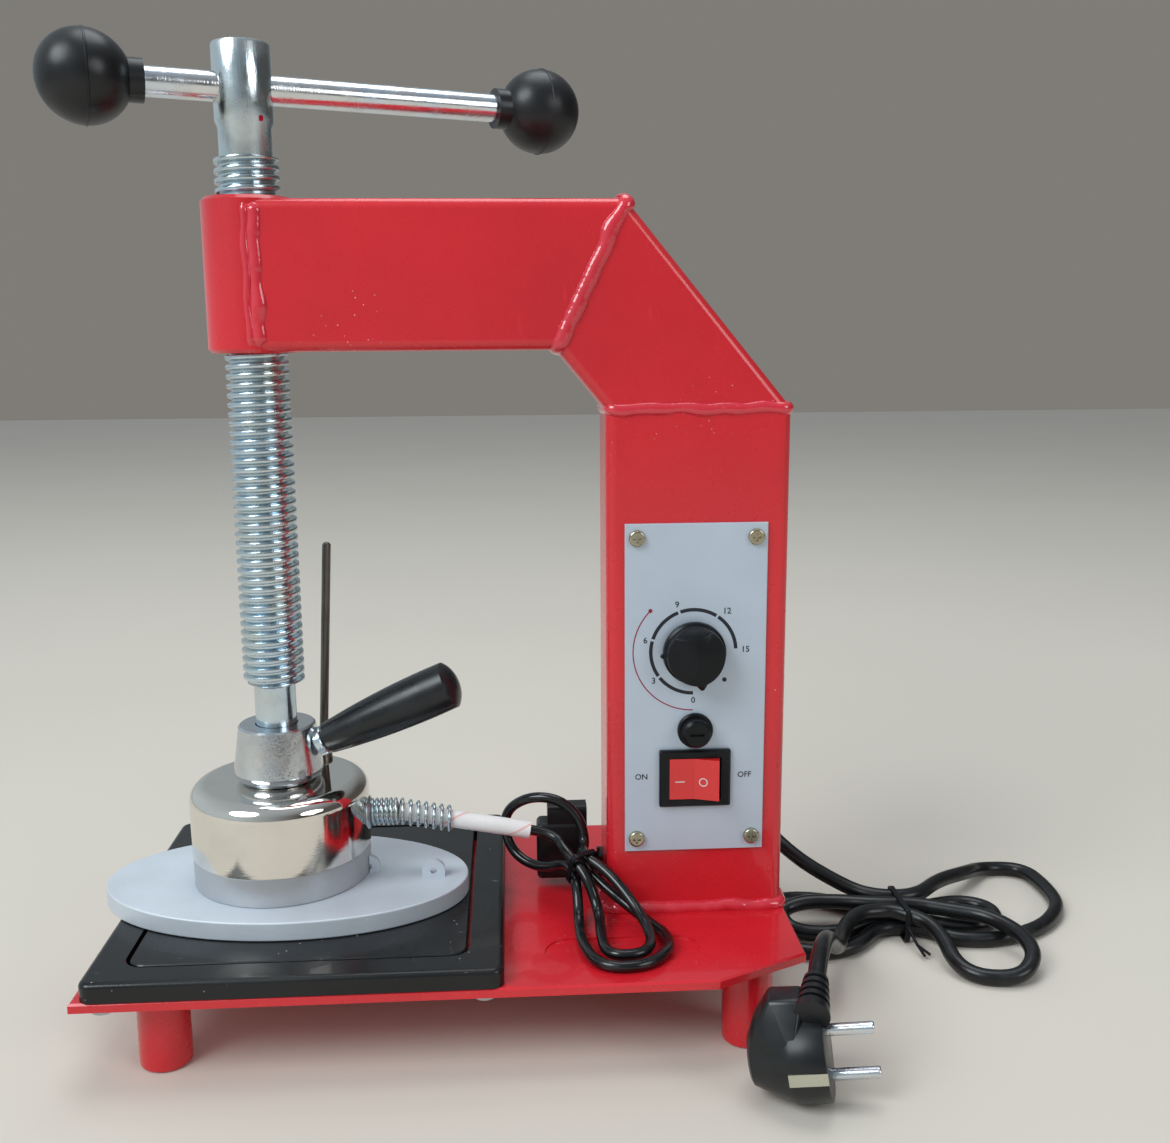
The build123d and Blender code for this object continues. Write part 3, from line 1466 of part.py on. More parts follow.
with BuildPart() as fuse_cap:
    with BuildSketch(fuse_plane.offset(cap_foot)):
        Circle(fuse_cap_radius)
    extrude(amount=fuse_cap_height)
    chamfer(fuse_cap.faces().sort_by(Axis.Y)[0].edges(), fuse_cap_edge)
    with BuildSketch(fuse_plane.offset(cap_foot + fuse_cap_height)):
        Rectangle(fuse_cap_radius, fuse_slot_width)
    extrude(amount=-fuse_slot_depth, mode=Mode.SUBTRACT)
    with BuildSketch(fuse_plane.offset(cap_foot)):
        Circle(fuse_neck_radius)
    extrude(amount=-fuse_neck_length)
    with BuildSketch(fuse_plane.offset(neck_end)):
        Circle(fuse_tube_radius + fit_gap)
    extrude(amount=fuse_tube_hold, mode=Mode.SUBTRACT)
write("fuse_cap", fuse_cap.part)

with BuildPart() as glass_fuse:
    with BuildSketch(fuse_plane.offset(neck_end + fuse_tube_hold - fit_gap)):
        Circle(fuse_tube_radius)
    extrude(amount=-fuse_tube_length)
write("glass_fuse", glass_fuse.part)

# Switch: housing with a well, and the rocker in it
pivot_plane = switch_plane.offset(switch_bezel - rocker_depth)
pivot_half = switch_well_tall / 2
with BuildPart() as switch_housing:
    with BuildSketch(switch_plane):
        RectangleRounded(switch_width, switch_tall, switch_bezel_edge)
    extrude(amount=switch_bezel)
    chamfer(switch_housing.faces().sort_by(Axis.Y)[0].edges(), switch_bezel_edge)
    with BuildSketch(switch_plane):
        Rectangle(switch_body_width, switch_body_tall)
    extrude(amount=-switch_body_depth)
    with BuildSketch(switch_plane.offset(switch_bezel)):
        Rectangle(switch_well_width, switch_well_tall)
    extrude(amount=-switch_well_depth, mode=Mode.SUBTRACT)
    pin_reach = pivot_half + rocker_pin_length + fit_gap
    with BuildSketch(Plane(origin=pivot_plane.origin - Vector(0, 0, pin_reach), z_dir=(0, 0, 1))):
        Circle(rocker_pin_radius + fit_gap)
    extrude(amount=2 * pin_reach, mode=Mode.SUBTRACT)
write("switch_housing", switch_housing.part)

rocker_half = switch_well_width / 2 - rocker_gap
rocker_tall = switch_well_tall - rocker_gap
rocker_dip = rocker_rise - rocker_half * math.tan(math.radians(rocker_tilt))
rocker_plane = Plane(
    origin=pivot_plane.origin - Vector(0, 0, rocker_tall / 2),
    x_dir=(math.cos(math.radians(rocker_tilt)), -math.sin(math.radians(rocker_tilt)), 0),
    z_dir=(0, 0, 1),
)
with BuildPart() as switch_rocker:
    with BuildSketch(rocker_plane):
        with BuildLine():
            Polyline(
                (-rocker_half, rocker_back),
                (-rocker_half, -rocker_rise),
                (0, -rocker_dip),
                (rocker_half, -rocker_rise),
                (rocker_half, rocker_back),
                close=True,
            )
        make_face()
    extrude(amount=rocker_tall)
    pin_half = pivot_half + rocker_pin_length
    with BuildSketch(Plane(origin=pivot_plane.origin - Vector(0, 0, pin_half), z_dir=(0, 0, 1))):
        Circle(rocker_pin_radius)
    extrude(amount=2 * pin_half)
write("switch_rocker", switch_rocker.part)

# Terminal block inside the column, on its back wall
terminal_y = tube_width / 2 - tube_wall - fit_gap - terminal_depth / 2
with BuildPart() as terminal_block:
    with BuildSketch(Plane.XY.offset(deck + terminal_low)):
        with Locations((column_left + tube_wall + terminal_margin + terminal_length / 2, terminal_y)):
            Rectangle(terminal_length, terminal_depth)
            with GridLocations(terminal_length / terminal_poles, 0, terminal_poles, 1):
                Circle(terminal_hole_radius, mode=Mode.SUBTRACT)
    extrude(amount=terminal_height)
write("terminal_block", terminal_block.part)

# Mains outlet on the column's back: flange, threaded end with its nut, and boot
column_back = tube_width / 2
outlet_plane = Plane(origin=(mains_x, column_back, mains_z), x_dir=(1, 0, 0), z_dir=(0, 1, 0))
boot_plane = outlet_plane.offset(gland_thickness)
with BuildPart() as mains_gland:
    with BuildSketch(outlet_plane):
        Circle(gland_radius)
    extrude(amount=gland_thickness)
    with BuildSketch(outlet_plane):
        Circle(gland_thread_radius)
    extrude(amount=-gland_thread_length)
    add(ribbed(boot_plane, boot_radius, boot_tip_radius, boot_length))
write("mains_gland", mains_gland.part)

with BuildPart() as gland_nut:
    with BuildSketch(outlet_plane.offset(-tube_wall)):
        RegularPolygon(gland_nut_across / 2, 6, major_radius=False)
        Circle(gland_thread_radius + fit_gap, mode=Mode.SUBTRACT)
    extrude(amount=-gland_nut_thickness)
write("gland_nut", gland_nut.part)


def free_stretch(name, points):
    """A length of mains cord on straight runs joined by round bends."""
    runs = [(Vector(*end) - Vector(*start)).length for start, end in zip(points, points[1:])]
    radii = []
    for index in range(1, len(points) - 1):
        into = (Vector(*points[index]) - Vector(*points[index - 1])).normalized()
        out = (Vector(*points[index + 1]) - Vector(*points[index])).normalized()
        half_turn = math.acos(max(-1, min(1, into.dot(out)))) / 2
        radii.append(bend_share * min(runs[index - 1], runs[index]) / math.tan(half_turn))
    with BuildPart() as cord:
        with BuildLine() as course:
            FilletPolyline(*points, radius=radii)
        with BuildSketch(Plane(origin=course.line @ 0, z_dir=course.line % 0)):
            Circle(mains_radius)
        sweep()
    length = sum(edge.length for edge in course.edges())
    share = cord.part.volume / (math.pi * mains_radius**2 * length)
    bends = [round(radius, 1) for radius in radii]
    print(f"{name}: length {length:.1f}, bend radii {bends}, volume share {share:.4f}")
    write(name, cord.part)


# Mains plug: body with a neck, pins, earth clips
lean = math.radians(plug_lean)
plug_pitch = math.radians(plug_turn)
plug_forward = Vector(
    math.cos(plug_pitch) * math.cos(lean),
    -math.sin(plug_pitch) * math.cos(lean),
    math.sin(lean),
)
plug_side = Vector(math.sin(plug_pitch), math.cos(plug_pitch), 0)
plug_up = plug_forward.cross(plug_side)
plug_rise = floor_gap + plug_radius * math.cos(lean) + plug_rim * math.sin(lean)
plug_centre = Vector(screw_x + plug_face_x, plug_face_y, plug_rise)
plug_plane = Plane(origin=plug_centre, x_dir=plug_side, z_dir=plug_forward)
relief_out = (plug_side * 0.94 + plug_up * 0.22 + plug_forward * 0.1).normalized()
relief_tip = Vector(*from_column(77.0, -98.0, 6.4))
relief_plane = Plane(origin=relief_tip - relief_out * relief_length, z_dir=relief_out)
neck_plane = Plane(origin=plug_centre - plug_forward * plug_neck_back, x_dir=plug_forward, z_dir=plug_up)
clip_out = plug_radius + clip_rise - clip_thickness
with BuildPart() as plug_body:
    with BuildSketch(Plane(origin=plug_centre, x_dir=plug_side, z_dir=plug_plane.y_dir * -1)):
        with BuildLine():
            Polyline(
                (0, 0),
                (plug_radius - plug_edge, 0),
                (plug_radius, -plug_edge),
                (plug_radius, -plug_rim),
                (plug_back_radius, -plug_depth),
                (0, -plug_depth),
                close=True,
            )
        make_face()
    revolve(axis=Axis(plug_centre, plug_forward))
    with BuildSketch(neck_plane):
        RectangleRounded(plug_neck_length, plug_neck_width, plug_neck_round)
    extrude(amount=plug_neck_rise)
    chamfer(plug_body.faces().sort_by(Axis(plug_centre, plug_up))[-1].edges(), plug_edge)
    add(ribbed(relief_plane, relief_radius, relief_tip_radius, relief_length))
    with BuildSketch(plug_plane):
        with Locations((0, pin_spacing / 2), (0, -pin_spacing / 2)):
            Circle(pin_radius + fit_gap)
    extrude(amount=-pin_root - fit_gap, mode=Mode.SUBTRACT)
    with BuildSketch(plug_plane):
        with Locations((clip_out + clip_thickness, 0), (-clip_out - clip_thickness, 0)):
            Rectangle(2 * clip_thickness + 2 * fit_gap, clip_width + 2 * fit_gap)
    extrude(amount=-clip_length - fit_gap, mode=Mode.SUBTRACT)
write("plug_body", plug_body.part)

with BuildPart() as plug_pins:
    with BuildSketch(plug_plane.offset(-pin_root)):
        with Locations((0, pin_spacing / 2), (0, -pin_spacing / 2)):
            Circle(pin_radius)
    extrude(amount=pin_root + pin_length)
    fillet(plug_pins.faces().sort_by(Axis(plug_centre, plug_forward))[-2:].edges(), pin_round)
write("plug_pins", plug_pins.part)

with BuildPart() as plug_clips:
    with BuildSketch(plug_plane.offset(-clip_length)):
        with Locations((clip_out + clip_thickness / 2, 0), (-clip_out - clip_thickness / 2, 0)):
            Rectangle(clip_thickness, clip_width)
    extrude(amount=clip_length)
write("plug_earth_clips", plug_clips.part)

# Mains cord: free run from the outlet, tied hank, free run to the plug
boot_tip = boot_plane.offset(boot_length + fit_gap).origin
run_points = [
    tuple(boot_tip),
    (boot_tip.X, boot_tip.Y + 38.0, boot_tip.Z),
    from_column(82.0, 91.0, 9.0),
    from_column(102.0, 62.0, -10.0),
    from_column(124.0, 51.0, -21.0),
]
free_stretch("mains_cord_run", run_points)
run_out = (Vector(*run_points[-1]) - Vector(*run_points[-2])).normalized()
hank_start = Vector(*run_points[-1]) + run_out * fit_gap

tail_points = [
    from_column(114.0, -1.0, -24.8),
    from_column(104.0, -32.0, -17.0),
    tuple(relief_tip + relief_out * 30.0),
    tuple(relief_tip + relief_out * fit_gap),
]
free_stretch("mains_cord_tail", tail_points)
tail_in = (Vector(*tail_points[1]) - Vector(*tail_points[0])).normalized()
hank_end = Vector(*tail_points[0]) - tail_in * fit_gap

floor_line = mains_radius + floor_gap - deck
tied_low = floor_line + tie_thickness + 2 * tie_gap
tied_high = tied_low + strand_layer
rear = hank_middle + hank_pitch
front = hank_middle - hank_pitch
tie_x = hank_from_column
hank_route = [
    (tuple(hank_start), tuple(run_out)),
    (from_column(tie_x, rear, tied_high), (1.0, -0.05, 0.0)),
    (from_column(191.8, 64.0, -27.0), (0.82, 0.55, -0.1)),
    (from_column(229.8, 89.0, floor_line), (0.95, -0.1, 0.0)),
    (from_column(242.8, 54.0, floor_line), (-0.1, -1.0, 0.0)),
    (from_column(215.8, 16.0, floor_line), (-0.85, -0.5, 0.0)),
    (from_column(181.8, 9.0, floor_line), (-1.0, 0.15, 0.0)),
    (from_column(tie_x, front, tied_low), (-1.0, 0.1, 0.0)),
    (from_column(109.8, 2.0, floor_line), (-1.0, -0.1, 0.0)),
    (from_column(77.8, 31.0, floor_line), (0.0, 1.0, 0.0)),
    (from_column(107.8, 60.0, floor_line), (1.0, -0.1, 0.0)),
    (from_column(tie_x, rear, tied_low), (1.0, -0.1, 0.0)),
    (from_column(184.8, 49.0, floor_line), (0.9, 0.15, 0.0)),
    (from_column(203.8, 36.0, floor_line), (0.0, -1.0, 0.0)),
    (from_column(185.8, 23.0, floor_line), (-0.97, 0.05, 0.0)),
    (from_column(tie_x, hank_middle, tied_low), (-1.0, 0.05, 0.0)),
    (from_column(108.8, 21.0, floor_line), (-1.0, 0.05, 0.0)),
    (from_column(92.8, 30.0, -31.0), (0.0, 1.0, 0.2)),
    (from_column(111.8, 39.5, -27.0), (1.0, -0.05, 0.0)),
    (from_column(tie_x, hank_middle, tied_high), (1.0, -0.05, 0.0)),
    (from_column(182.8, 20.0, -26.0), (0.92, -0.4, 0.0)),
    (from_column(202.8, -12.0, -28.5), (-0.05, -1.0, -0.1)),
    (from_column(180.8, -29.0, floor_line), (-0.95, 0.3, 0.0)),
    (from_column(tie_x, front - 2.5, tied_high), (-0.8, 0.6, 0.1)),
    (from_column(135.8, 22.0, tied_high + last_strand_rise), (-0.96, -0.25, 0.06)),
    (tuple(hank_end), tuple(tail_in)),
]
hank_edges = tube("mains_hank", hank_route, mains_radius)
hank_waist = Plane(origin=from_column(tie_x, 0, 0), x_dir=(0, 1, 0), z_dir=(1, 0, 0))
tie(
    "mains_tie",
    hank_edges,
    mains_radius,
    hank_waist,
    -1,
    [(2.0, -9.0, -5.0), (1.0, -8.0, -1.5), (4.0, -7.0, -1.5)],
)

everything = Compound(children=written)
box = everything.bounding_box()
print(f"pieces written {len(written)}, box {box.size.X:.1f} by {box.size.Y:.1f} by {box.size.Z:.1f}")
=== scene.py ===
"""Looks of a bench vulcanizer for tyre patches: paint, plating, thread, welds, dial and cords."""

import logging
import math
from dataclasses import dataclass
from enum import Enum
from typing import Callable, Sequence

import bmesh
import bpy
from mathutils import Matrix, Vector, noise


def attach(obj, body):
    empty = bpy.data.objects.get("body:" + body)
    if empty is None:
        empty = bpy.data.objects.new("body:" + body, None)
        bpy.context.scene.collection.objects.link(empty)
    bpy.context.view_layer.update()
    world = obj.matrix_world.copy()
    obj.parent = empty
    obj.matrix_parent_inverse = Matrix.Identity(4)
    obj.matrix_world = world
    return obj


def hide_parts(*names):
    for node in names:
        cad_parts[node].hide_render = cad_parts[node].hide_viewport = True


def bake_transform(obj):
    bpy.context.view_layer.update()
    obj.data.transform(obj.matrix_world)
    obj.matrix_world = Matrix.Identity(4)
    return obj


logging.basicConfig(level=logging.INFO, format="%(message)s")
log = logging.getLogger("vulcanizer")

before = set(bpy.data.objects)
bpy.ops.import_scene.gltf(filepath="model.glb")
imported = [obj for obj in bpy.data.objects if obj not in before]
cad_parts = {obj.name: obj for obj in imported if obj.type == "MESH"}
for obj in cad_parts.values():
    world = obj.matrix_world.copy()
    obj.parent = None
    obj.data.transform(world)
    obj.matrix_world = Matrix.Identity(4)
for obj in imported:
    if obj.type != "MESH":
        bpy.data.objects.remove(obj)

Point = tuple[float, float, float]
Colour = tuple[float, float, float]
Profile = Sequence[tuple[float, float]]
Heading = tuple[Point, Point]
Outline = list[tuple[Vector, Vector]]
Shape = bmesh.types.BMesh
Socket = bpy.types.NodeSocket

MM = 0.001
ORIGIN: Point = (0.0, 0.0, 0.0)
UP: Point = (0.0, 0.0, 1.0)
TO_VIEWER: Point = (0.0, -1.0, 0.0)

# Places of the CAD model, in metres
SCREW_X = -0.075239
DECK = 0.0388
COLUMN_LEFT = 0.072961
COLUMN_X = 0.112961
PANEL_FACE = -0.0215
TUBE_WIDTH = 0.040
COLUMN_DEPTH = 0.080
COLUMN_HEIGHT = 0.228
ARM_LOW = DECK + 0.2529
ARM_DEPTH = 0.0617
TUBE_CORNER = 0.0045


class Body(str, Enum):
    """The CAD model's bodies that new pieces ride on."""

    FRAME = "frame"
    LIFT = "lift_washer"
    SCREW = "screw"
    HEAD = "head"
    ROCKER = "rocker"
    TIMER = "timer"


def from_column(x: float, y: float, z: float) -> Point:
    """A point from the column's left face, the middle plane and the base plate's top."""
    return (COLUMN_LEFT + x, y, DECK + z)


# ---------------------------------------------------------------- shaders


@dataclass(frozen=True)
class Noise:
    """A noise pattern in an object's coordinates.

    Attributes:
        scale: Its scale, per metre.
        detail: How many finer layers it has.
        low: The noise that becomes 0.
        high: The noise that becomes 1.
        stretch: Scales of the three axes, for streaks.
        turn: Turns of the streaks about the axes, in radians.
    """

    scale: float
    detail: float = 2.0
    low: float = 0.0
    high: float = 1.0
    stretch: Point | None = None
    turn: Point = ORIGIN


@dataclass(frozen=True)
class Specks:
    """Small dots that lie in clusters: dots per metre, their size in cells, and the clusters."""

    scale: float
    size: float
    clusters: Noise


class Value:
    """A number socket of a shader, on which Python's operators add Math nodes."""

    def __init__(self, graph: "Graph", socket: Socket) -> None:
        """Keeps the socket and the graph it is in."""
        self.graph = graph
        self.socket = socket

    def math(self, operation: str, other: object = 0.0) -> "Value":
        """A Math node on this value and another value or number."""
        made = self.graph.node("ShaderNodeMath", {"operation": operation}, {0: self, 1: other})
        return Value(self.graph, made.outputs[0])

    def __add__(self, other: object) -> "Value":
        """Self plus other."""
        return self.math("ADD", other)

    def __sub__(self, other: object) -> "Value":
        """Self minus other."""
        return self.math("SUBTRACT", other)

    def __mul__(self, other: object) -> "Value":
        """Self times other."""
        return self.math("MULTIPLY", other)

    def __lt__(self, other: object) -> "Value":
        """1 where self is less than other, else 0."""
        return self.math("LESS_THAN", other)

    def ramp(self, low: float, high: float) -> "Value":
        """Self stretched so that low becomes 0 and high becomes 1, held between them.

        Args:
            low: The value that becomes 0.
            high: The value that becomes 1.

        Returns:
            The stretched value.
        """
        sockets = {"Value": self, "From Min": low, "From Max": high}
        made = self.graph.node("ShaderNodeMapRange", {"clamp": True}, sockets)
        return Value(self.graph, made.outputs["Result"])


class Graph:
    """A node tree with the few calls that its patterns need."""

    def __init__(self, tree: bpy.types.NodeTree, coordinates: str) -> None:
        """Keeps the tree and the coordinates that its patterns use."""
        self.tree = tree
        self.place = self.node("ShaderNodeTexCoord").outputs[coordinates]

    def node(
        self, kind: str, settings: dict | None = None, sockets: dict | None = None
    ) -> bpy.types.Node:
        """Adds one node.

        Args:
            kind: The node's type.
            settings: Its own settings.
            sockets: Values or links of its input sockets, by name or number.

        Returns:
            The new node.
        """
        made = self.tree.nodes.new(kind)
        for key, value in (settings or {}).items():
            setattr(made, key, value)
        for key, value in (sockets or {}).items():
            self.feed(made.inputs[key], value)
        return made

    def feed(self, socket: Socket, value: object) -> None:
        """Links or sets one input socket.

        Args:
            socket: The input socket.
            value: A Value, an output socket, a number or a colour.
        """
        if isinstance(value, Value):
            self.tree.links.new(value.socket, socket)
        elif isinstance(value, Socket):
            self.tree.links.new(value, socket)
        elif isinstance(value, tuple) and socket.type == "RGBA":
            socket.default_value = (*value, 1.0)
        else:
            socket.default_value = value

    def noise(self, pattern: Noise) -> Value:
        """Lays out a noise pattern.

        Args:
            pattern: Its scale, detail, range and streaks.

        Returns:
            Its value, from 0 to 1.
        """
        place = self.place
        if pattern.stretch:
            streaks = {"Vector": place, "Scale": pattern.stretch, "Rotation": pattern.turn}
            place = self.node("ShaderNodeMapping", None, streaks).outputs["Vector"]
        sockets = {"Vector": place, "Scale": pattern.scale, "Detail": pattern.detail}
        value = Value(self, self.node("ShaderNodeTexNoise", None, sockets).outputs["Fac"])
        plain = (pattern.low, pattern.high) == (0.0, 1.0)
        return value if plain else value.ramp(pattern.low, pattern.high)

    def cells(self, scale: float) -> Value:
        """The distance to the nearest of scattered points, in cells."""
        made = self.node("ShaderNodeTexVoronoi", None, {"Vector": self.place, "Scale": scale})
        return Value(self, made.outputs["Distance"])

    def specks(self, dots: Specks) -> Value:
        """1 on small dots within their clusters, else 0."""
        return (self.cells(dots.scale) < dots.size) * self.noise(dots.clusters)

    def mix(self, factor: object, first: object, second: object) -> Socket:
        """A blend of two colours: the first at a factor of 0, the second at 1."""
        sockets = {0: factor, 6: first, 7: second}
        return self.node("ShaderNodeMix", {"data_type": "RGBA"}, sockets).outputs[2]

    def axis(self, name: str) -> Value:
        """One of the coordinates X, Y or Z."""
        made = self.node("ShaderNodeSeparateXYZ", None, {0: self.place})
        return Value(self, made.outputs[name])


class Shader(Graph):
    """A material with a Principled shader."""

    def __init__(self, name: str) -> None:
        """Makes a material whose surface is one Principled shader.

        Args:
            name: The material's name.
        """
        self.material = bpy.data.materials.new(name)
        self.material.use_nodes = True
        self.material.node_tree.nodes.clear()
        super().__init__(self.material.node_tree, "Object")
        self.principled = self.node("ShaderNodeBsdfPrincipled")
        output = self.node("ShaderNodeOutputMaterial")
        self.tree.links.new(self.principled.outputs["BSDF"], output.inputs["Surface"])

    def set(self, **sockets: object) -> None:
        """Sets sockets of the Principled shader, with _ for a space in their names."""
        for key, value in sockets.items():
            self.feed(self.principled.inputs[key.replace("_", " ")], value)

    def bump(self, height: Value, distance: float, strength: float) -> None:
        """Feeds a bump pattern to the shader's Normal.

        Args:
            height: The pattern.
            distance: Its depth, in metres.
            strength: How much of it shows.
        """
        sockets = {"Height": height, "Distance": distance, "Strength": strength}
        made = self.node("ShaderNodeBump", None, sockets)
        self.set(Normal=made.outputs["Normal"])


# ---------------------------------------------------------------- finishes


@dataclass(frozen=True)
class Finish:
    """A plain finish: one colour with a faint cloud, and a gloss that varies a little."""

    name: str
    colour: Colour
    roughness: float = 0.5
    metallic: float = 0.0
    coat: float = 0.0
    cloud: float = 0.08
    specular: float = 0.5

    def material(self) -> bpy.types.Material:
        """Makes the finish's material at its first use.

        Returns:
            The material.
        """
        found = bpy.data.materials.get(self.name)
        if found is None:
            shader = Shader(self.name)
            shader.set(
                Metallic=self.metallic, Coat_Weight=self.coat, Specular_IOR_Level=self.specular
            )
            self.dress(shader)
            found = shader.material
        return found

    def tint(self, share: float) -> Colour:
        """The finish's colour made lighter or darker by a share."""
        return tuple(min(1.0, channel * share) for channel in self.colour)

    def dress(self, shader: Shader) -> None:
        """Adds the finish's own pattern.

        Args:
            shader: The material to dress.
        """
        cloud = shader.noise(Noise(45.0, 3.0, 0.3, 0.7))
        shader.set(
            Base_Color=shader.mix(cloud, self.tint(1 - self.cloud), self.tint(1 + self.cloud)),
            Roughness=cloud * 0.08 + (self.roughness - 0.04),
        )


@dataclass(frozen=True)
class EnamelPaint(Finish):
    """Thick glossy enamel with soft runs, small pale specks and scuffs."""

    specks: float = 1.0
    speck_colour: Colour = (0.86, 0.42, 0.44)
    clouds: Noise = Noise(14.0, 4.0, 0.3, 0.72)
    dots: Specks = Specks(330.0, 0.09, Noise(26.0, 1.0, 0.56, 0.66))
    scuffs: Noise = Noise(4.0, 6.0, 0.68, 0.74, (60.0, 60.0, 9.0), (0.0, 0.6, 0.3))
    gloss: Noise = Noise(90.0, 3.0)
    runs: Noise = Noise(1.0, stretch=(70.0, 70.0, 22.0))
    skin: Noise = Noise(420.0)

    def dress(self, shader: Shader) -> None:
        """Adds runs, specks and a slightly wavy skin.

        Args:
            shader: The material to dress.
        """
        base = shader.mix(shader.noise(self.clouds), self.tint(0.9), self.tint(1.1))
        speck = shader.specks(self.dots) * self.specks
        scuff = shader.noise(self.scuffs) * 0.3
        dotted = shader.mix(speck, base, self.speck_colour)
        shader.set(
            Base_Color=shader.mix(scuff, dotted, self.tint(1.28)),
            Roughness=shader.noise(self.gloss) * 0.12 + (self.roughness - 0.06) + scuff * 0.3,
        )
        skin = shader.noise(self.runs) * 0.7 + shader.noise(self.skin) * 0.12 + speck * 0.5
        shader.bump(skin, 0.0006, 0.55)


@dataclass(frozen=True)
class PlatedSteel(Finish):
    """Bright zinc plating with a faint blue and yellow play of colour and fine scratches."""

    play: float = 0.5
    hues: Noise = Noise(60.0, 3.0, 0.35, 0.65)
    yellow: Noise = Noise(37.0, 2.0, 0.55, 0.7)
    dullness: Noise = Noise(110.0, 5.0, 0.42, 0.75)
    scratches: Noise = Noise(5.0, 4.0, stretch=(260.0, 260.0, 30.0), turn=(0.2, 0.1, 0.0))
    skin: Noise = Noise(900.0)

    def dress(self, shader: Shader) -> None:
        """Adds the play of colour, patches of dull plating and scratches.

        Args:
            shader: The material to dress.
        """
        red, green, blue = self.colour
        blueish = (red * 0.9, green, blue * 1.1)
        yellowish = (red, green * 0.95, blue * 0.8)
        tone = shader.mix(shader.noise(self.hues), self.tint(0.97), blueish)
        base = shader.mix(shader.noise(self.yellow) * (0.6 * self.play), tone, yellowish)
        dull = shader.noise(self.dullness)
        scratch = shader.noise(self.scratches)
        shader.set(
            Base_Color=shader.mix(dull * 0.35, base, self.tint(0.78)),
            Roughness=dull * 0.2 + scratch * 0.1 + (self.roughness - 0.08),
        )
        shader.bump(scratch + shader.noise(self.skin) * 0.4, 0.00012, 0.5)


@dataclass(frozen=True)
class SpottedZinc(PlatedSteel):
    """The screw's plating, with a dab of red paint below its head and a worn top."""

    spot: Point = (-0.0670, -0.0083, 0.3856)
    spot_size: float = 0.0016
    spot_colour: Colour = (0.62, 0.02, 0.06)
    top: float = DECK + 0.3766
    worn_colour: Colour = (0.28, 0.26, 0.25)

    def dress(self, shader: Shader) -> None:
        """Adds the paint spot and the worn top to the plating.

        Args:
            shader: The material to dress.
        """
        super().dress(shader)
        plated = shader.principled.inputs["Base Color"].links[0].from_socket
        ends = {0: shader.place, 1: self.spot}
        gap = shader.node("ShaderNodeVectorMath", {"operation": "DISTANCE"}, ends)
        ragged = Value(shader, gap.outputs["Value"]) + shader.noise(Noise(700.0)) * 0.0008
        near_top = shader.axis("Z").ramp(self.top, self.top + 0.0012)
        worn = near_top * shader.noise(Noise(300.0, 3.0, 0.35, 0.6))
        dulled = shader.mix(worn * 0.6, plated, self.worn_colour)
        shader.set(Base_Color=shader.mix(ragged < self.spot_size, dulled, self.spot_colour))


@dataclass(frozen=True)
class MirrorChrome(Finish):
    """Polished plating with smudges and faint spun lines."""

    stain: Colour = (0.25, 0.23, 0.22)
    smudges: Noise = Noise(55.0, 5.0, 0.5, 0.78)
    spots: Specks = Specks(60.0, 0.1, Noise(30.0, 2.0, 0.55, 0.62))
    spun_lines: Noise = Noise(3.0, 3.0, stretch=(8.0, 8.0, 900.0))

    def dress(self, shader: Shader) -> None:
        """Adds smudges, a few dark spots and fine spun lines.

        Args:
            shader: The material to dress.
        """
        smudge = shader.noise(self.smudges)
        marks = shader.specks(self.spots) * 0.6 + smudge * 0.12
        shader.set(
            Base_Color=shader.mix(marks, self.colour, self.stain),
            Roughness=smudge * 0.16 + self.roughness,
        )
        shader.bump(shader.noise(self.spun_lines), 0.00004, 0.35)


@dataclass(frozen=True)
class CastAluminium(Finish):
    """Matt cast aluminium with fine pits, smears and a few dark marks."""

    smears: Noise = Noise(22.0, 5.0, 0.35, 0.7)
    marks: Noise = Noise(130.0, 6.0, 0.7, 0.8)
    skin: Noise = Noise(500.0, 4.0)
    pits: float = 900.0

    def dress(self, shader: Shader) -> None:
        """Adds smears, pits and marks.

        Args:
            shader: The material to dress.
        """
        smear = shader.noise(self.smears)
        base = shader.mix(smear, self.tint(0.93), self.tint(1.06))
        shader.set(
            Base_Color=shader.mix(shader.noise(self.marks) * 0.5, base, self.tint(0.6)),
            Roughness=smear * 0.12 + (self.roughness - 0.06),
        )
        pits = shader.cells(self.pits).ramp(0.0, 0.35)
        shader.bump(pits * 0.35 + shader.noise(self.skin), 0.00018, 0.5)


@dataclass(frozen=True)
class BlackEnamel(Finish):
    """Satin black enamel with dust, white scuffs and dull smears."""

    dust_colour: Colour = (0.62, 0.62, 0.63)
    smears: Noise = Noise(18.0, 5.0, 0.4, 0.72)
    dust: Specks = Specks(240.0, 0.075, Noise(33.0, 2.0, 0.58, 0.66))
    scuffs: Noise = Noise(3.0, 8.0, 0.71, 0.78, (40.0, 130.0, 60.0), (0.0, 0.0, 0.4))
    skin: Noise = Noise(700.0, 3.0)
    waves: Noise = Noise(60.0)

    def dress(self, shader: Shader) -> None:
        """Adds dust, scuffs and smears.

        Args:
            shader: The material to dress.
        """
        smear = shader.noise(self.smears)
        scuff = shader.noise(self.scuffs)
        worn = shader.mix(smear * 0.6, self.tint(0.7), self.tint(1.7))
        pale = shader.specks(self.dust) * 0.8 + scuff * 0.22
        shader.set(
            Base_Color=shader.mix(pale, worn, self.dust_colour),
            Roughness=smear * 0.2 + (self.roughness - 0.05) + scuff * 0.3,
        )
        shader.bump(shader.noise(self.skin) + shader.noise(self.waves) * 0.6, 0.0001, 0.6)


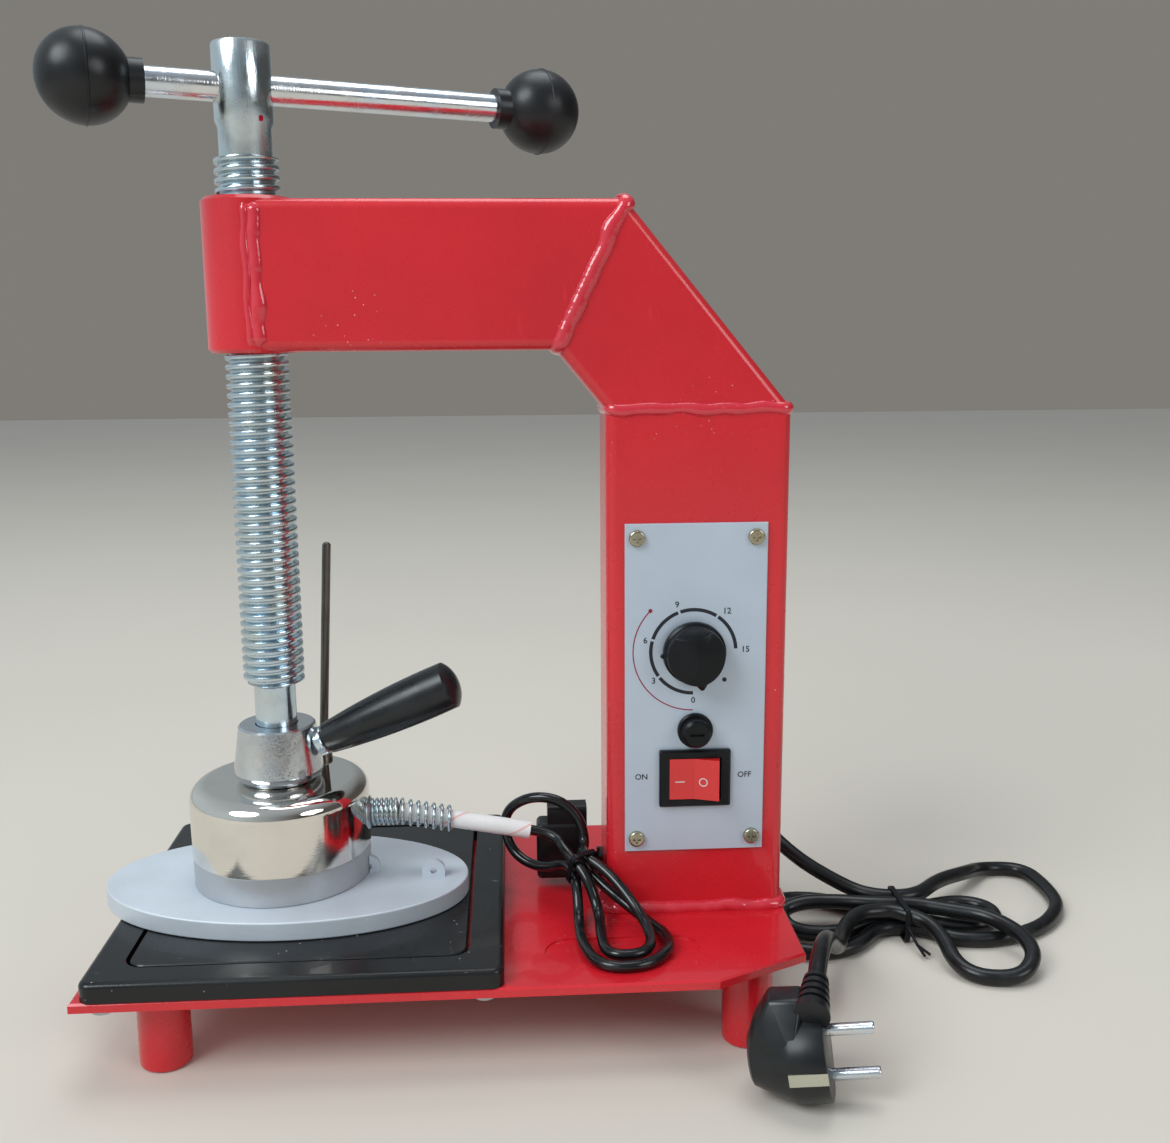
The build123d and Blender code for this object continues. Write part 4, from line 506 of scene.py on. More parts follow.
@dataclass(frozen=True)
class MouldedPlastic(Finish):
    """Moulded black plastic with a fine grain, light wear and dust."""

    grain: float = 0.4
    dust_colour: Colour = (0.4, 0.4, 0.4)
    wear: Noise = Noise(70.0, 5.0, 0.45, 0.8)
    dust: Specks = Specks(520.0, 0.06, Noise(60.0, 2.0, 0.57, 0.63))

    def dress(self, shader: Shader) -> None:
        """Adds wear and grain.

        Args:
            shader: The material to dress.
        """
        wear = shader.noise(self.wear)
        worn = shader.mix(wear, self.colour, self.tint(1.9))
        shader.set(
            Base_Color=shader.mix(shader.specks(self.dust) * 0.5, worn, self.dust_colour),
            Roughness=wear * 0.16 + (self.roughness - 0.05),
        )
        shader.bump(shader.noise(Noise(1900.0)), 0.00006, self.grain)


@dataclass(frozen=True)
class CordSkin(Finish):
    """Soft black jacket of a cord, with worn patches and a faint waviness."""

    def dress(self, shader: Shader) -> None:
        """Adds wear and a soft waviness.

        Args:
            shader: The material to dress.
        """
        wear = shader.noise(Noise(120.0, 4.0, 0.5, 0.8))
        shader.set(
            Base_Color=shader.mix(wear, self.colour, self.tint(2.4)),
            Roughness=wear * 0.2 + (self.roughness - 0.05),
        )
        shader.bump(shader.noise(Noise(260.0, 3.0)), 0.00015, 0.5)


@dataclass(frozen=True)
class FibreSleeve(Finish):
    """White woven glass-fibre sleeve with a faint red tracer that winds round it."""

    tracer: Colour = (0.75, 0.22, 0.18)
    tracer_turns: float = 1.9
    tracer_start: float = 0.28
    tracer_fineness: float = 900.0
    dirt: Noise = Noise(160.0, 4.0, 0.4, 0.8)

    def dress(self, shader: Shader) -> None:
        """Adds the tracer, read from the sleeve's own UV map, and the weave.

        Args:
            shader: The material to dress.
        """
        grid = shader.node("ShaderNodeUVMap", {"uv_map": "UVMap"})
        split = shader.node("ShaderNodeSeparateXYZ", None, {0: grid.outputs["UV"]})
        along = Value(shader, split.outputs["X"])
        around = Value(shader, split.outputs["Y"])
        wound = (around + along * self.tracer_turns + self.tracer_start).math("FRACT")
        off_line = (wound - 0.5).math("POWER", 2.0) * self.tracer_fineness
        line = off_line.ramp(1.0, 0.4)
        cloth = (along * 260.0).math("SINE") * (around * 150.0).math("SINE")
        base = shader.mix(shader.noise(self.dirt) * 0.5, self.colour, self.tint(0.86))
        shader.set(
            Base_Color=shader.mix(line * 0.5, base, self.tracer),
            Roughness=cloth * 0.04 + self.roughness,
        )
        shader.bump(cloth, 0.00008, 0.6)


@dataclass(frozen=True)
class Glass(Finish):
    """Clear glass of the fuse."""

    def dress(self, shader: Shader) -> None:
        """Makes the shader clear."""
        shader.set(Base_Color=self.colour, Roughness=self.roughness, Alpha=0.4, IOR=1.5)


@dataclass(frozen=True)
class Finishes:
    """Every finish of the machine."""

    red: Finish = EnamelPaint("red_enamel", (0.62, 0.0125, 0.022), 0.28, coat=0.36)
    weld_red: Finish = EnamelPaint("weld_enamel", (0.64, 0.022, 0.042), 0.2, coat=0.8, specks=0.4)
    black_enamel: Finish = BlackEnamel(
        "black_enamel", (0.0055, 0.006, 0.0068), 0.3, coat=0.15, specular=0.35
    )
    zinc: Finish = PlatedSteel("bright_zinc", (0.66, 0.71, 0.73), 0.2, 1.0)
    screw_zinc: Finish = SpottedZinc("screw_zinc", (0.64, 0.70, 0.72), 0.19, 1.0)
    bar_zinc: Finish = PlatedSteel("bar_zinc", (0.76, 0.77, 0.78), 0.18, 1.0, play=0.2)
    collar_steel: Finish = PlatedSteel("turned_steel", (0.64, 0.63, 0.62), 0.13, 1.0, play=0.3)
    chrome: Finish = MirrorChrome("cup_chrome", (0.78, 0.75, 0.70), 0.05, 1.0)
    aluminium: Finish = CastAluminium("cast_aluminium", (0.62, 0.67, 0.73), 0.55, 0.3)
    ring_aluminium: Finish = CastAluminium("ring_aluminium", (0.50, 0.51, 0.53), 0.4, 0.75)
    panel: Finish = Finish("panel_aluminium", (0.50, 0.57, 0.66), 0.44, 0.25, cloud=0.03)
    brass: Finish = PlatedSteel("yellow_zinc", (0.46, 0.41, 0.29), 0.24, 1.0)
    pale_brass: Finish = PlatedSteel("pale_brass", (0.66, 0.63, 0.50), 0.26, 1.0)
    dark_steel: Finish = PlatedSteel("dark_rod", (0.15, 0.14, 0.12), 0.34, 0.9, play=0.6)
    steel: Finish = PlatedSteel("plain_steel", (0.45, 0.45, 0.46), 0.3, 1.0)
    spring_steel: Finish = PlatedSteel("spring_steel", (0.56, 0.61, 0.61), 0.26, 1.0)
    knob: Finish = MouldedPlastic("knob_plastic", (0.0065, 0.0072, 0.0086), 0.36, specular=0.4)
    grip: Finish = MouldedPlastic(
        "grip_plastic", (0.0055, 0.0065, 0.0078), 0.3, grain=0.25, specular=0.45
    )
    plastic: Finish = MouldedPlastic("panel_plastic", (0.005, 0.0058, 0.0072), 0.33, specular=0.22)
    connector: Finish = MouldedPlastic(
        "connector_plastic", (0.006, 0.0062, 0.007), 0.4, specular=0.35
    )
    plug: Finish = MouldedPlastic("plug_vinyl", (0.006, 0.0068, 0.0082), 0.34, specular=0.45)
    rocker: Finish = Finish("rocker_red", (0.66, 0.02, 0.022), 0.26, coat=0.4)
    print_black: Finish = Finish("print_black", (0.009, 0.012, 0.022), 0.55)
    print_red: Finish = Finish("print_red", (0.28, 0.008, 0.04), 0.55)
    print_white: Finish = Finish("print_white", (0.72, 0.60, 0.60), 0.5)
    cord: Finish = CordSkin("mains_jacket", (0.0055, 0.0058, 0.0066), 0.34, specular=0.4)
    lead: Finish = CordSkin("lead_jacket", (0.005, 0.0052, 0.0058), 0.24, coat=0.2, specular=0.4)
    sleeve: Finish = FibreSleeve("fibre_sleeve", (0.80, 0.79, 0.78), 0.7)
    insulation: Finish = Finish("fibre_board", (0.80, 0.77, 0.68), 0.9)
    mica: Finish = Finish("mica_sheet", (0.50, 0.40, 0.26), 0.5)
    ceramic: Finish = Finish("terminal_ceramic", (0.80, 0.80, 0.77), 0.6)
    glass: Finish = Glass("fuse_glass", (0.85, 0.9, 0.9), 0.05)


FINISH = Finishes()


@dataclass
class NodeDresser:
    """Gives every CAD node its finish."""

    groups: tuple[tuple[Finish, str], ...] = (
        (FINISH.red, "base_plate feet column_tube elbow_tube arm_tube screw_nut"),
        (FINISH.weld_red, "column_welds arm_weld nut_welds"),
        (FINISH.black_enamel, "platen_frame lower_heating_plate"),
        (FINISH.mica, "lower_heating_element upper_heating_element"),
        (FINISH.insulation, "lower_insulation upper_insulation"),
        (FINISH.steel, "platen_screws thrust_washer collar_set_screws clamp_disc head_bolts"),
        (FINISH.steel, "press_plate_screws timer_shaft"),
        (FINISH.spring_steel, "relief_spring"),
        (FINISH.zinc, "press_screw spigot_nut handle_stud gland_nipple"),
        (FINISH.bar_zinc, "turning_bar plug_pins"),
        (FINISH.collar_steel, "collar"),
        (FINISH.chrome, "cup_cover"),
        (FINISH.ring_aluminium, "heater_block"),
        (FINISH.aluminium, "press_plate"),
        (FINISH.panel, "control_panel"),
        (FINISH.brass, "panel_screws"),
        (FINISH.pale_brass, "plug_earth_clips"),
        (FINISH.dark_steel, "guide_rod"),
        (FINISH.knob, "ball_knobs"),
        (FINISH.grip, "handle_grip"),
        (FINISH.plastic, "timer_body timer_knob fuse_holder fuse_cap switch_housing"),
        (FINISH.plastic, "lead_socket lead_tie mains_gland gland_nut mains_tie"),
        (FINISH.connector, "lead_connector"),
        (FINISH.plug, "plug_body"),
        (FINISH.rocker, "switch_rocker"),
        (FINISH.cord, "mains_cord_run mains_hank mains_cord_tail head_lead"),
        (FINISH.ceramic, "lead_sleeve terminal_block"),
        (FINISH.glass, "glass_fuse"),
    )

    def build(self) -> None:
        """Dresses the nodes and checks that none is left."""
        dressed: set[str] = set()
        for finish, names in self.groups:
            for name in names.split():
                self._dress(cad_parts[name], finish.material())
                dressed.add(name)
        left = sorted(set(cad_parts) - dressed)
        if left:
            raise ValueError(f"nodes without a finish: {left}")
        log.info("dressed %d CAD nodes", len(dressed))

    @staticmethod
    def _dress(node: bpy.types.Object, material: bpy.types.Material) -> None:
        """Puts a material in all of a node's slots.

        Args:
            node: The CAD object.
            material: Its new material.
        """
        if not node.material_slots:
            node.data.materials.append(material)
        for place in node.material_slots:
            place.material = material


# ---------------------------------------------------------------- shapes


def to_object(data: bpy.types.ID, name: str) -> bpy.types.Object:
    """Puts a mesh, a light or another data block in the scene.

    Args:
        data: The data block.
        name: The object's name.

    Returns:
        The object.
    """
    item = bpy.data.objects.new(name, data)
    bpy.context.scene.collection.objects.link(item)
    return item


def to_mesh(shape: Shape, name: str) -> bpy.types.Mesh:
    """Turns a bmesh into a mesh.

    Args:
        shape: The bmesh, which is freed.
        name: The mesh's name.

    Returns:
        The mesh.
    """
    data = bpy.data.meshes.new(name)
    shape.to_mesh(data)
    shape.free()
    return data


def to_piece(
    shape: Shape,
    name: str,
    finish: Finish,
    body: Body | None,
    sharp: float = 35.0,
    replaces: Sequence[str] = (),
) -> bpy.types.Object:
    """Turns a bmesh into a finished piece.

    Args:
        shape: The shape, which is freed.
        name: The piece's name.
        finish: Its finish.
        body: The CAD body it rides on, or None if it rides on none.
        sharp: Edges with a larger angle than this, in degrees, stay sharp.
        replaces: The CAD nodes it stands for.

    Returns:
        The piece.
    """
    bmesh.ops.recalc_face_normals(shape, faces=shape.faces[:])
    data = to_mesh(shape, name)
    data.shade_smooth()
    data.set_sharp_from_angle(angle=math.radians(sharp))
    data.materials.append(finish.material())
    piece = to_object(data, name)
    if replaces:
        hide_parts(*replaces)
    if body is not None:
        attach(piece, body.value)
    log.info("piece %s: %d faces", name, len(data.polygons))
    return piece


def add_part(shape: Shape, part: Shape) -> None:
    """Adds one bmesh to another.

    Args:
        shape: The bmesh that gets the part.
        part: The part, which is freed.
    """
    mesh = to_mesh(part, "part")
    shape.from_mesh(mesh)
    bpy.data.meshes.remove(mesh)


def turned_frame(centre: Vector, forward: Vector, upward: Vector = Vector(UP)) -> Matrix:
    """A matrix whose Z looks forward, at a centre.

    Args:
        centre: The origin.
        forward: The direction of the new Z.
        upward: A direction that the new X keeps square to.

    Returns:
        The matrix.
    """
    z = forward.normalized()
    x = upward.cross(z)
    if x.length < 1e-6:
        x = Vector((1.0, 0.0, 0.0)).cross(z)
    x.normalize()
    turn = Matrix((x, z.cross(x), z)).transposed().to_4x4()
    return Matrix.Translation(centre) @ turn


def swept(shape: Shape, stations: Sequence[Matrix], sides: int, closed: bool) -> None:
    """Sweeps a unit circle through stations by extruding it and moving each new ring.

    Args:
        shape: The bmesh that gets the tube.
        stations: A matrix for each ring, with its scale.
        sides: Sides of the ring.
        closed: True if the last ring joins the first.
    """
    first = bmesh.ops.create_circle(shape, segments=sides, radius=1.0, matrix=stations[0])
    first_edges = list({edge for vert in first["verts"] for edge in vert.link_edges})
    ring_edges = first_edges
    for before, after in zip(stations, stations[1:]):
        grown = bmesh.ops.extrude_edge_only(shape, edges=ring_edges)["geom"]
        ring = [item for item in grown if isinstance(item, bmesh.types.BMVert)]
        fresh = set(ring)
        ring_edges = [
            item
            for item in grown
            if isinstance(item, bmesh.types.BMEdge) and fresh.issuperset(item.verts)
        ]
        bmesh.ops.transform(shape, matrix=after @ before.inverted(), verts=ring)
    if closed:
        bmesh.ops.bridge_loops(shape, edges=first_edges + ring_edges)
    else:
        bmesh.ops.holes_fill(shape, edges=first_edges + ring_edges, sides=sides)


def turned_solid(
    shape: Shape, points: Profile, place: Matrix, sides: int, ring: bool = False
) -> None:
    """Spins a side of radii and heights round the Z axis of a place.

    Args:
        shape: The bmesh that gets the solid.
        points: Radius and height of each corner, from axis to axis.
        place: Where the solid's own axis stands.
        sides: Steps of the full turn.
        ring: True if the side is a closed outline off the axis.
    """
    before = set(shape.verts)
    verts = [shape.verts.new((radius, 0.0, height)) for radius, height in points]
    edges = [shape.edges.new(pair) for pair in zip(verts, verts[1:])]
    if ring:
        edges.append(shape.edges.new((verts[-1], verts[0])))
    bmesh.ops.spin(
        shape,
        geom=verts + edges,
        cent=ORIGIN,
        axis=UP,
        angle=math.tau,
        steps=sides,
        use_merge=True,
    )
    made = [vert for vert in shape.verts if vert not in before]
    bmesh.ops.remove_doubles(shape, verts=made, dist=1e-7)
    made = [vert for vert in made if vert.is_valid]
    bmesh.ops.transform(shape, matrix=place, verts=made)


def cylinder(
    shape: Shape, radius: float, depth: float, place: Matrix, sides: int, taper: float = 0.0
) -> None:
    """Adds a closed cylinder about the Z axis of a place.

    Args:
        shape: The bmesh that gets it.
        radius: Its radius.
        depth: Its length.
        place: Its middle.
        sides: Its sides.
        taper: How much slimmer its top is.
    """
    bmesh.ops.create_cone(
        shape,
        cap_ends=True,
        segments=sides,
        radius1=radius,
        radius2=radius - taper,
        depth=depth,
        matrix=place,
    )


def cut_off(shape: Shape, place: Point, normal: Point) -> None:
    """Takes away what lies beyond a plane and closes the cut.

    Args:
        shape: The bmesh.
        place: A point of the plane.
        normal: The direction of what is taken away.
    """
    cut = bmesh.ops.bisect_plane(
        shape,
        geom=shape.verts[:] + shape.edges[:] + shape.faces[:],
        dist=1e-7,
        plane_co=place,
        plane_no=normal,
        clear_outer=True,
    )["geom_cut"]
    rim = [item for item in cut if isinstance(item, bmesh.types.BMEdge)]
    bmesh.ops.edgeloop_fill(shape, edges=rim)


def to_hull(shape: Shape) -> None:
    """Turns a bmesh into the convex hull of its corners, with nothing loose left inside.

    Args:
        shape: The bmesh.
    """
    made = bmesh.ops.convex_hull(shape, input=shape.verts[:])
    inside = [item for item in made["geom_interior"] if isinstance(item, bmesh.types.BMVert)]
    bmesh.ops.delete(shape, geom=inside, context="VERTS")
    hull_faces = set(made["geom"])
    old_faces = [face for face in shape.faces if face not in hull_faces]
    bmesh.ops.delete(shape, geom=old_faces, context="FACES_ONLY")
    wires = [edge for edge in shape.edges if not edge.link_faces]
    bmesh.ops.delete(shape, geom=wires, context="EDGES")


# ---------------------------------------------------------------- stage


@dataclass(frozen=True)
class Lamp:
    """A round soft lamp: its name, place, target, size, power and colour."""

    name: str
    place: Point
    target: Point
    size: float
    energy: float
    colour: Colour

    def build(self) -> None:
        """Hangs the lamp so that it looks at its target."""
        light = bpy.data.lights.new(self.name, "AREA")
        light.shape = "DISK"
        light.size = self.size
        light.energy = self.energy
        light.color = self.colour
        lamp = to_object(light, self.name)
        way = Vector(self.target) - Vector(self.place)
        turn = way.to_track_quat("-Z", "Y").to_matrix().to_4x4()
        lamp.matrix_world = Matrix.Translation(self.place) @ turn


@dataclass
class Stage:
    """Floor, soft lamps and a pale surrounding."""

    floor_size: float = 9.0
    floor_drop: float = 0.00005
    floor_colour: Colour = (0.63, 0.575, 0.505)
    window_side: Colour = (0.82, 0.94, 1.0)
    dark_side: Colour = (0.15, 0.14, 0.13)
    ceiling: Colour = (0.66, 0.73, 0.80)
    backdrop: Colour = (0.34, 0.325, 0.30)
    world_strength: float = 0.62
    lamps: tuple[Lamp, ...] = (
        Lamp("window", (-1.5, -1.3, 1.9), (-0.02, 0.0, 0.18), 1.5, 46.0, (0.90, 0.97, 1.0)),
        Lamp("fill", (1.7, -1.5, 1.1), (0.02, 0.0, 0.15), 1.2, 13.0, (0.94, 0.98, 1.0)),
        Lamp("top", (0.1, 0.4, 2.2), (0.0, 0.0, 0.1), 1.4, 16.0, (0.92, 0.98, 1.0)),
    )

    def build(self) -> None:
        """Makes the floor, the lamps and the world."""
        shape = bmesh.new()
        bmesh.ops.create_grid(shape, x_segments=1, y_segments=1, size=self.floor_size / 2)
        floor = to_object(to_mesh(shape, "floor"), "floor")
        floor.location.z = -self.floor_drop
        shader = Shader("floor_card")
        lighter = tuple(channel * 1.03 for channel in self.floor_colour)
        cloud = shader.noise(Noise(3.0, 3.0, 0.3, 0.7))
        shader.set(Base_Color=shader.mix(cloud, self.floor_colour, lighter), Roughness=0.85)
        floor.data.materials.append(shader.material)
        for lamp in self.lamps:
            lamp.build()
        self._surround()

    def _surround(self) -> None:
        """Makes the world: a bright side, a dark side, a ceiling, and the camera's backdrop."""
        world = bpy.data.worlds.new("room")
        world.use_nodes = True
        bpy.context.scene.world = world
        graph = Graph(world.node_tree, "Generated")
        walls = graph.mix(graph.axis("X").ramp(-0.7, 0.55), self.window_side, self.dark_side)
        room = graph.mix(graph.axis("Z").ramp(0.4, 0.95), walls, self.ceiling)
        seen = graph.node("ShaderNodeLightPath").outputs["Is Camera Ray"]
        background = world.node_tree.nodes["Background"].inputs
        graph.feed(background["Strength"], self.world_strength)
        graph.feed(background["Color"], graph.mix(seen, room, self.backdrop))


@dataclass
class PhotoCamera:
    """The camera that took the photograph, fitted to the machine. Angles are in degrees."""

    place: Point = (0.0317, -0.54554, 0.29557)
    yaw: float = 3.48
    pitch: float = 10.57
    roll: float = -0.38
    lens: float = 38.08
    sensor: float = 36.0

    def build(self) -> None:
        """Makes the camera and sets it as the scene's."""
        yaw, pitch, roll = map(math.radians, (self.yaw, self.pitch, self.roll))
        level = math.cos(pitch)
        forward = Vector((math.sin(yaw) * level, math.cos(yaw) * level, -math.sin(pitch)))
        right = Vector((math.cos(yaw), -math.sin(yaw), 0.0))
        upward = right.cross(forward)
        side = right * math.cos(roll) + upward * math.sin(roll)
        top = upward * math.cos(roll) - right * math.sin(roll)
        data = bpy.data.cameras.new("camera")
        data.lens = self.lens
        data.sensor_width = self.sensor
        camera = to_object(data, "camera")
        turn = Matrix((side, top, -forward)).transposed().to_4x4()
        camera.matrix_world = Matrix.Translation(self.place) @ turn
        bpy.context.scene.camera = camera


# ---------------------------------------------------------------- cords


def headings(*rows: tuple[float, ...]) -> list[Heading]:
    """Rows of a point, from the column's foot, and a heading there, as points and headings."""
    return [(from_column(*row[:3]), row[3:]) for row in rows]


def tangent_corners(route: Sequence[Heading]) -> list[Point]:
    """Control points of a smooth line: the route's points lead to them along their headings.

    Args:
        route: Points and headings, in metres.

    Returns:
        The control points between the route's ends.
    """
    corners: list[Point] = []
    for (point, heading), (point_next, heading_next) in zip(route, route[1:]):
        out = Vector(heading).normalized()
        into = Vector(heading_next).normalized()
        chord = Vector(point_next) - Vector(point)
        spread = 2 * (1 - out.dot(into))
        along = chord.dot(out + into)
        if out.cross(chord).length + into.cross(chord).length < 1e-9:
            continue
        if spread < 1e-9:
            reach = chord.dot(chord) / (2 * along)
        else:
            reach = (-along + math.sqrt(along**2 + spread * chord.dot(chord))) / spread
        corners.append(tuple(Vector(point) + out * reach))
        corners.append(tuple(Vector(point_next) - into * reach))
    return corners


def nurbs_line(name: str, points: Sequence[Point], bevel: float, steps: int) -> bpy.types.Object:
    """A curve of one smooth NURBS spline.

    Args:
        name: The curve's name.
        points: Its control points.
        bevel: Its radius, or 0 for a bare line.
        steps: Steps between control points.

    Returns:
        The curve object, linked to the scene.
    """
    data = bpy.data.curves.new(name, "CURVE")
    data.dimensions = "3D"
    data.resolution_u = steps
    data.bevel_depth = bevel
    data.bevel_resolution = 5
    data.use_fill_caps = True
    spline = data.splines.new("NURBS")
    spline.points.add(len(points) - 1)
    for control, point in zip(spline.points, points):
        control.co = (*point, 1.0)
    spline.order_u = 3
    spline.use_endpoint_u = True
    return to_object(data, name)


@dataclass
class MainsCord:
    """Mains cord from the gland, through a tied hank, to its plug."""

    radius: float = 0.00375
    length: float = 1.197
    tie_x: float = 0.1518
    rear: float = 0.0395
    middle: float = 0.031
    front: float = 0.0225
    floor: float = -0.035
    tied_low: float = -0.03404
    tied_high: float = -0.02564
    relief_tip: Point = from_column(0.077, -0.098, 0.0064)
    relief_way: Point = (0.3108, 0.9193, 0.2409)
    relief_run: float = 0.030
    relief_gap: float = 0.00005
    steps: int = 10

    def run(self) -> list[Point]:
        """The free run of the cord behind the column.

        Returns:
            Its control points, from the boot to the hank.
        """
        return [
            from_column(0.050, 0.04355, 0.028),
            from_column(0.050, 0.08155, 0.028),
            from_column(0.082, 0.091, 0.009),
            from_column(0.102, 0.062, -0.010),
            from_column(0.124, 0.051, -0.021),
        ]

    def tail(self) -> list[Point]:
        """The free run of the cord in front of the hank.

        Returns:
            Its control points, from the hank to just outside the plug's strain relief.
        """
        tip = Vector(self.relief_tip)
        way = Vector(self.relief_way)
        return [
            from_column(0.114, -0.001, -0.0248),
            from_column(0.104, -0.032, -0.017),
            tuple(tip + way * self.relief_run),
            tuple(tip + way * self.relief_gap),
        ]

    def hank(self) -> list[Heading]:
        """The hank's loops, as in the CAD model.

        Returns:
            Its points and headings, with those of both free runs at its ends.
        """
        run, tail = self.run(), self.tail()
        low, high, floor, tie = self.tied_low, self.tied_high, self.floor, self.tie_x
        loops = headings(
            (tie, self.rear, high, 1.0, -0.05, 0.0),
            (0.1918, 0.064, -0.027, 0.82, 0.55, -0.1),
            (0.2298, 0.089, floor, 0.95, -0.1, 0.0),
            (0.2428, 0.054, floor, -0.1, -1.0, 0.0),
            (0.2158, 0.016, floor, -0.85, -0.5, 0.0),
            (0.1818, 0.009, floor, -1.0, 0.15, 0.0),
            (tie, self.front, low, -1.0, 0.1, 0.0),
            (0.1098, 0.002, floor, -1.0, -0.1, 0.0),
            (0.0778, 0.031, floor, 0.0, 1.0, 0.0),
            (0.1078, 0.060, floor, 1.0, -0.1, 0.0),
            (tie, self.rear, low, 1.0, -0.1, 0.0),
            (0.1848, 0.049, floor, 0.9, 0.15, 0.0),
            (0.2038, 0.036, floor, 0.0, -1.0, 0.0),
            (0.1858, 0.023, floor, -0.97, 0.05, 0.0),
            (tie, self.middle, low, -1.0, 0.05, 0.0),
            (0.1088, 0.021, floor, -1.0, 0.05, 0.0),
            (0.0928, 0.030, -0.031, 0.0, 1.0, 0.2),
            (0.1118, 0.0395, -0.027, 1.0, -0.05, 0.0),
            (tie, self.middle, high, 1.0, -0.05, 0.0),
            (0.1828, 0.020, -0.026, 0.92, -0.4, 0.0),
            (0.2028, -0.012, -0.0285, -0.05, -1.0, -0.1),
            (0.1808, -0.029, floor, -0.95, 0.3, 0.0),
            (tie, self.front - 0.0025, high, -0.8, 0.6, 0.1),
            (0.1358, 0.022, high + 0.0006, -0.96, -0.25, 0.06),
        )
        run_out = tuple((Vector(run[-1]) - Vector(run[-2])).normalized())
        tail_in = tuple((Vector(tail[1]) - Vector(tail[0])).normalized())
        return [(run[-1], run_out), *loops, (tail[0], tail_in)]

    def build(self) -> None:
        points = self.run()[:-1] + tangent_corners(self.hank()) + self.tail()[1:]
        cord = nurbs_line("mains_cord", points, self.radius, self.steps)
        cord.data.materials.append(FINISH.cord.material())
        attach(cord, Body.FRAME.value)
        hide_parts("mains_cord_run", "mains_hank", "mains_cord_tail")
        log.info("mains cord: %d control points", len(points))


@dataclass
class HeadLead:
    """Thin lead from the head's sleeve to the connector on the column."""

    radius: float = 0.0024
    length: float = 0.477
    start: Point = (0.03864, 0.0, 0.07158)
    out: Point = (0.98294, 0.0, -0.18395)
    nose: Point = (0.061361, 0.00625, 0.0563)
    nose_way: Point = (0.0, 1.0, 0.0)
    bend_start: Point = from_column(-0.016, -0.012, 0.020)
    steps: int = 14

    def route(self) -> list[Heading]:
        """The lead's route, as in the CAD model.

        Returns:
            Its points and headings, from the head's sleeve to the connector.
        """
        straight = 2 * self.radius
        loops = headings(
            (-0.0147, -0.0176, 0.0240, 0.55, -0.7, -0.4),
            (-0.0049, -0.0400, 0.0046, -0.03, -1.0, -0.1),
            (0.0053, -0.0675, 0.0038, 1.0, 0.0, 0.0),
            (0.0154, -0.0500, 0.0060, -0.25, 1.0, 0.3),
            (-0.0076, -0.0180, 0.0250, -0.72, 0.62, 0.3),
            (-0.0099, -0.0010, 0.0310, -0.15, 0.2, 1.0),
            (-0.0272, 0.0055, 0.0463, -1.0, 0.3, 0.0),
            (-0.0460, 0.0150, 0.0280, 0.05, 0.0, -1.0),
            (-0.0357, 0.0065, 0.0140, 0.78, -0.6, -0.15),
            (-0.0153, -0.0154, 0.0177, 0.15, -0.96, -0.25),
            (-0.0139, -0.0420, 0.0026, 0.0, -1.0, 0.0),
            (0.0038, -0.0750, 0.0026, 1.0, 0.0, 0.0),
            (0.0233, -0.0500, 0.0026, -0.1, 1.0, 0.0),
            (0.0168, -0.0380, 0.0036, -0.6, 0.75, 0.22),
            (-0.0078, -0.0152, 0.0176, -0.62, 0.7, 0.4),
        )
        leaves = tuple(Vector(self.start) + Vector(self.out) * straight)
        arrives = tuple(Vector(self.nose) - Vector(self.nose_way) * straight)
        ends_out = [(self.start, self.out), (leaves, self.out)]
        ends_in = [(arrives, self.nose_way), (self.nose, self.nose_way)]
        return ends_out + loops + ends_in

    def build(self) -> None:
        points = [self.start, *tangent_corners(self.route()), self.nose]
        line = nurbs_line("lead_line", points, 0.0, self.steps)
        thick = nurbs_line("lead_thick", points, self.radius, self.steps)
        path = [tuple(vert.co) for vert in bpy.data.meshes.new_from_object(line).vertices]
        shape = bmesh.new()
        shape.from_mesh(bpy.data.meshes.new_from_object(thick))
        bmesh.ops.remove_doubles(shape, verts=shape.verts[:], dist=1e-7)
        for used in (line, thick):
            bpy.data.objects.remove(used)
        tube = to_piece(shape, "head_lead_cord", FINISH.lead, None, 60.0, ["head_lead"])
        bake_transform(tube)


# ---------------------------------------------------------------- screw


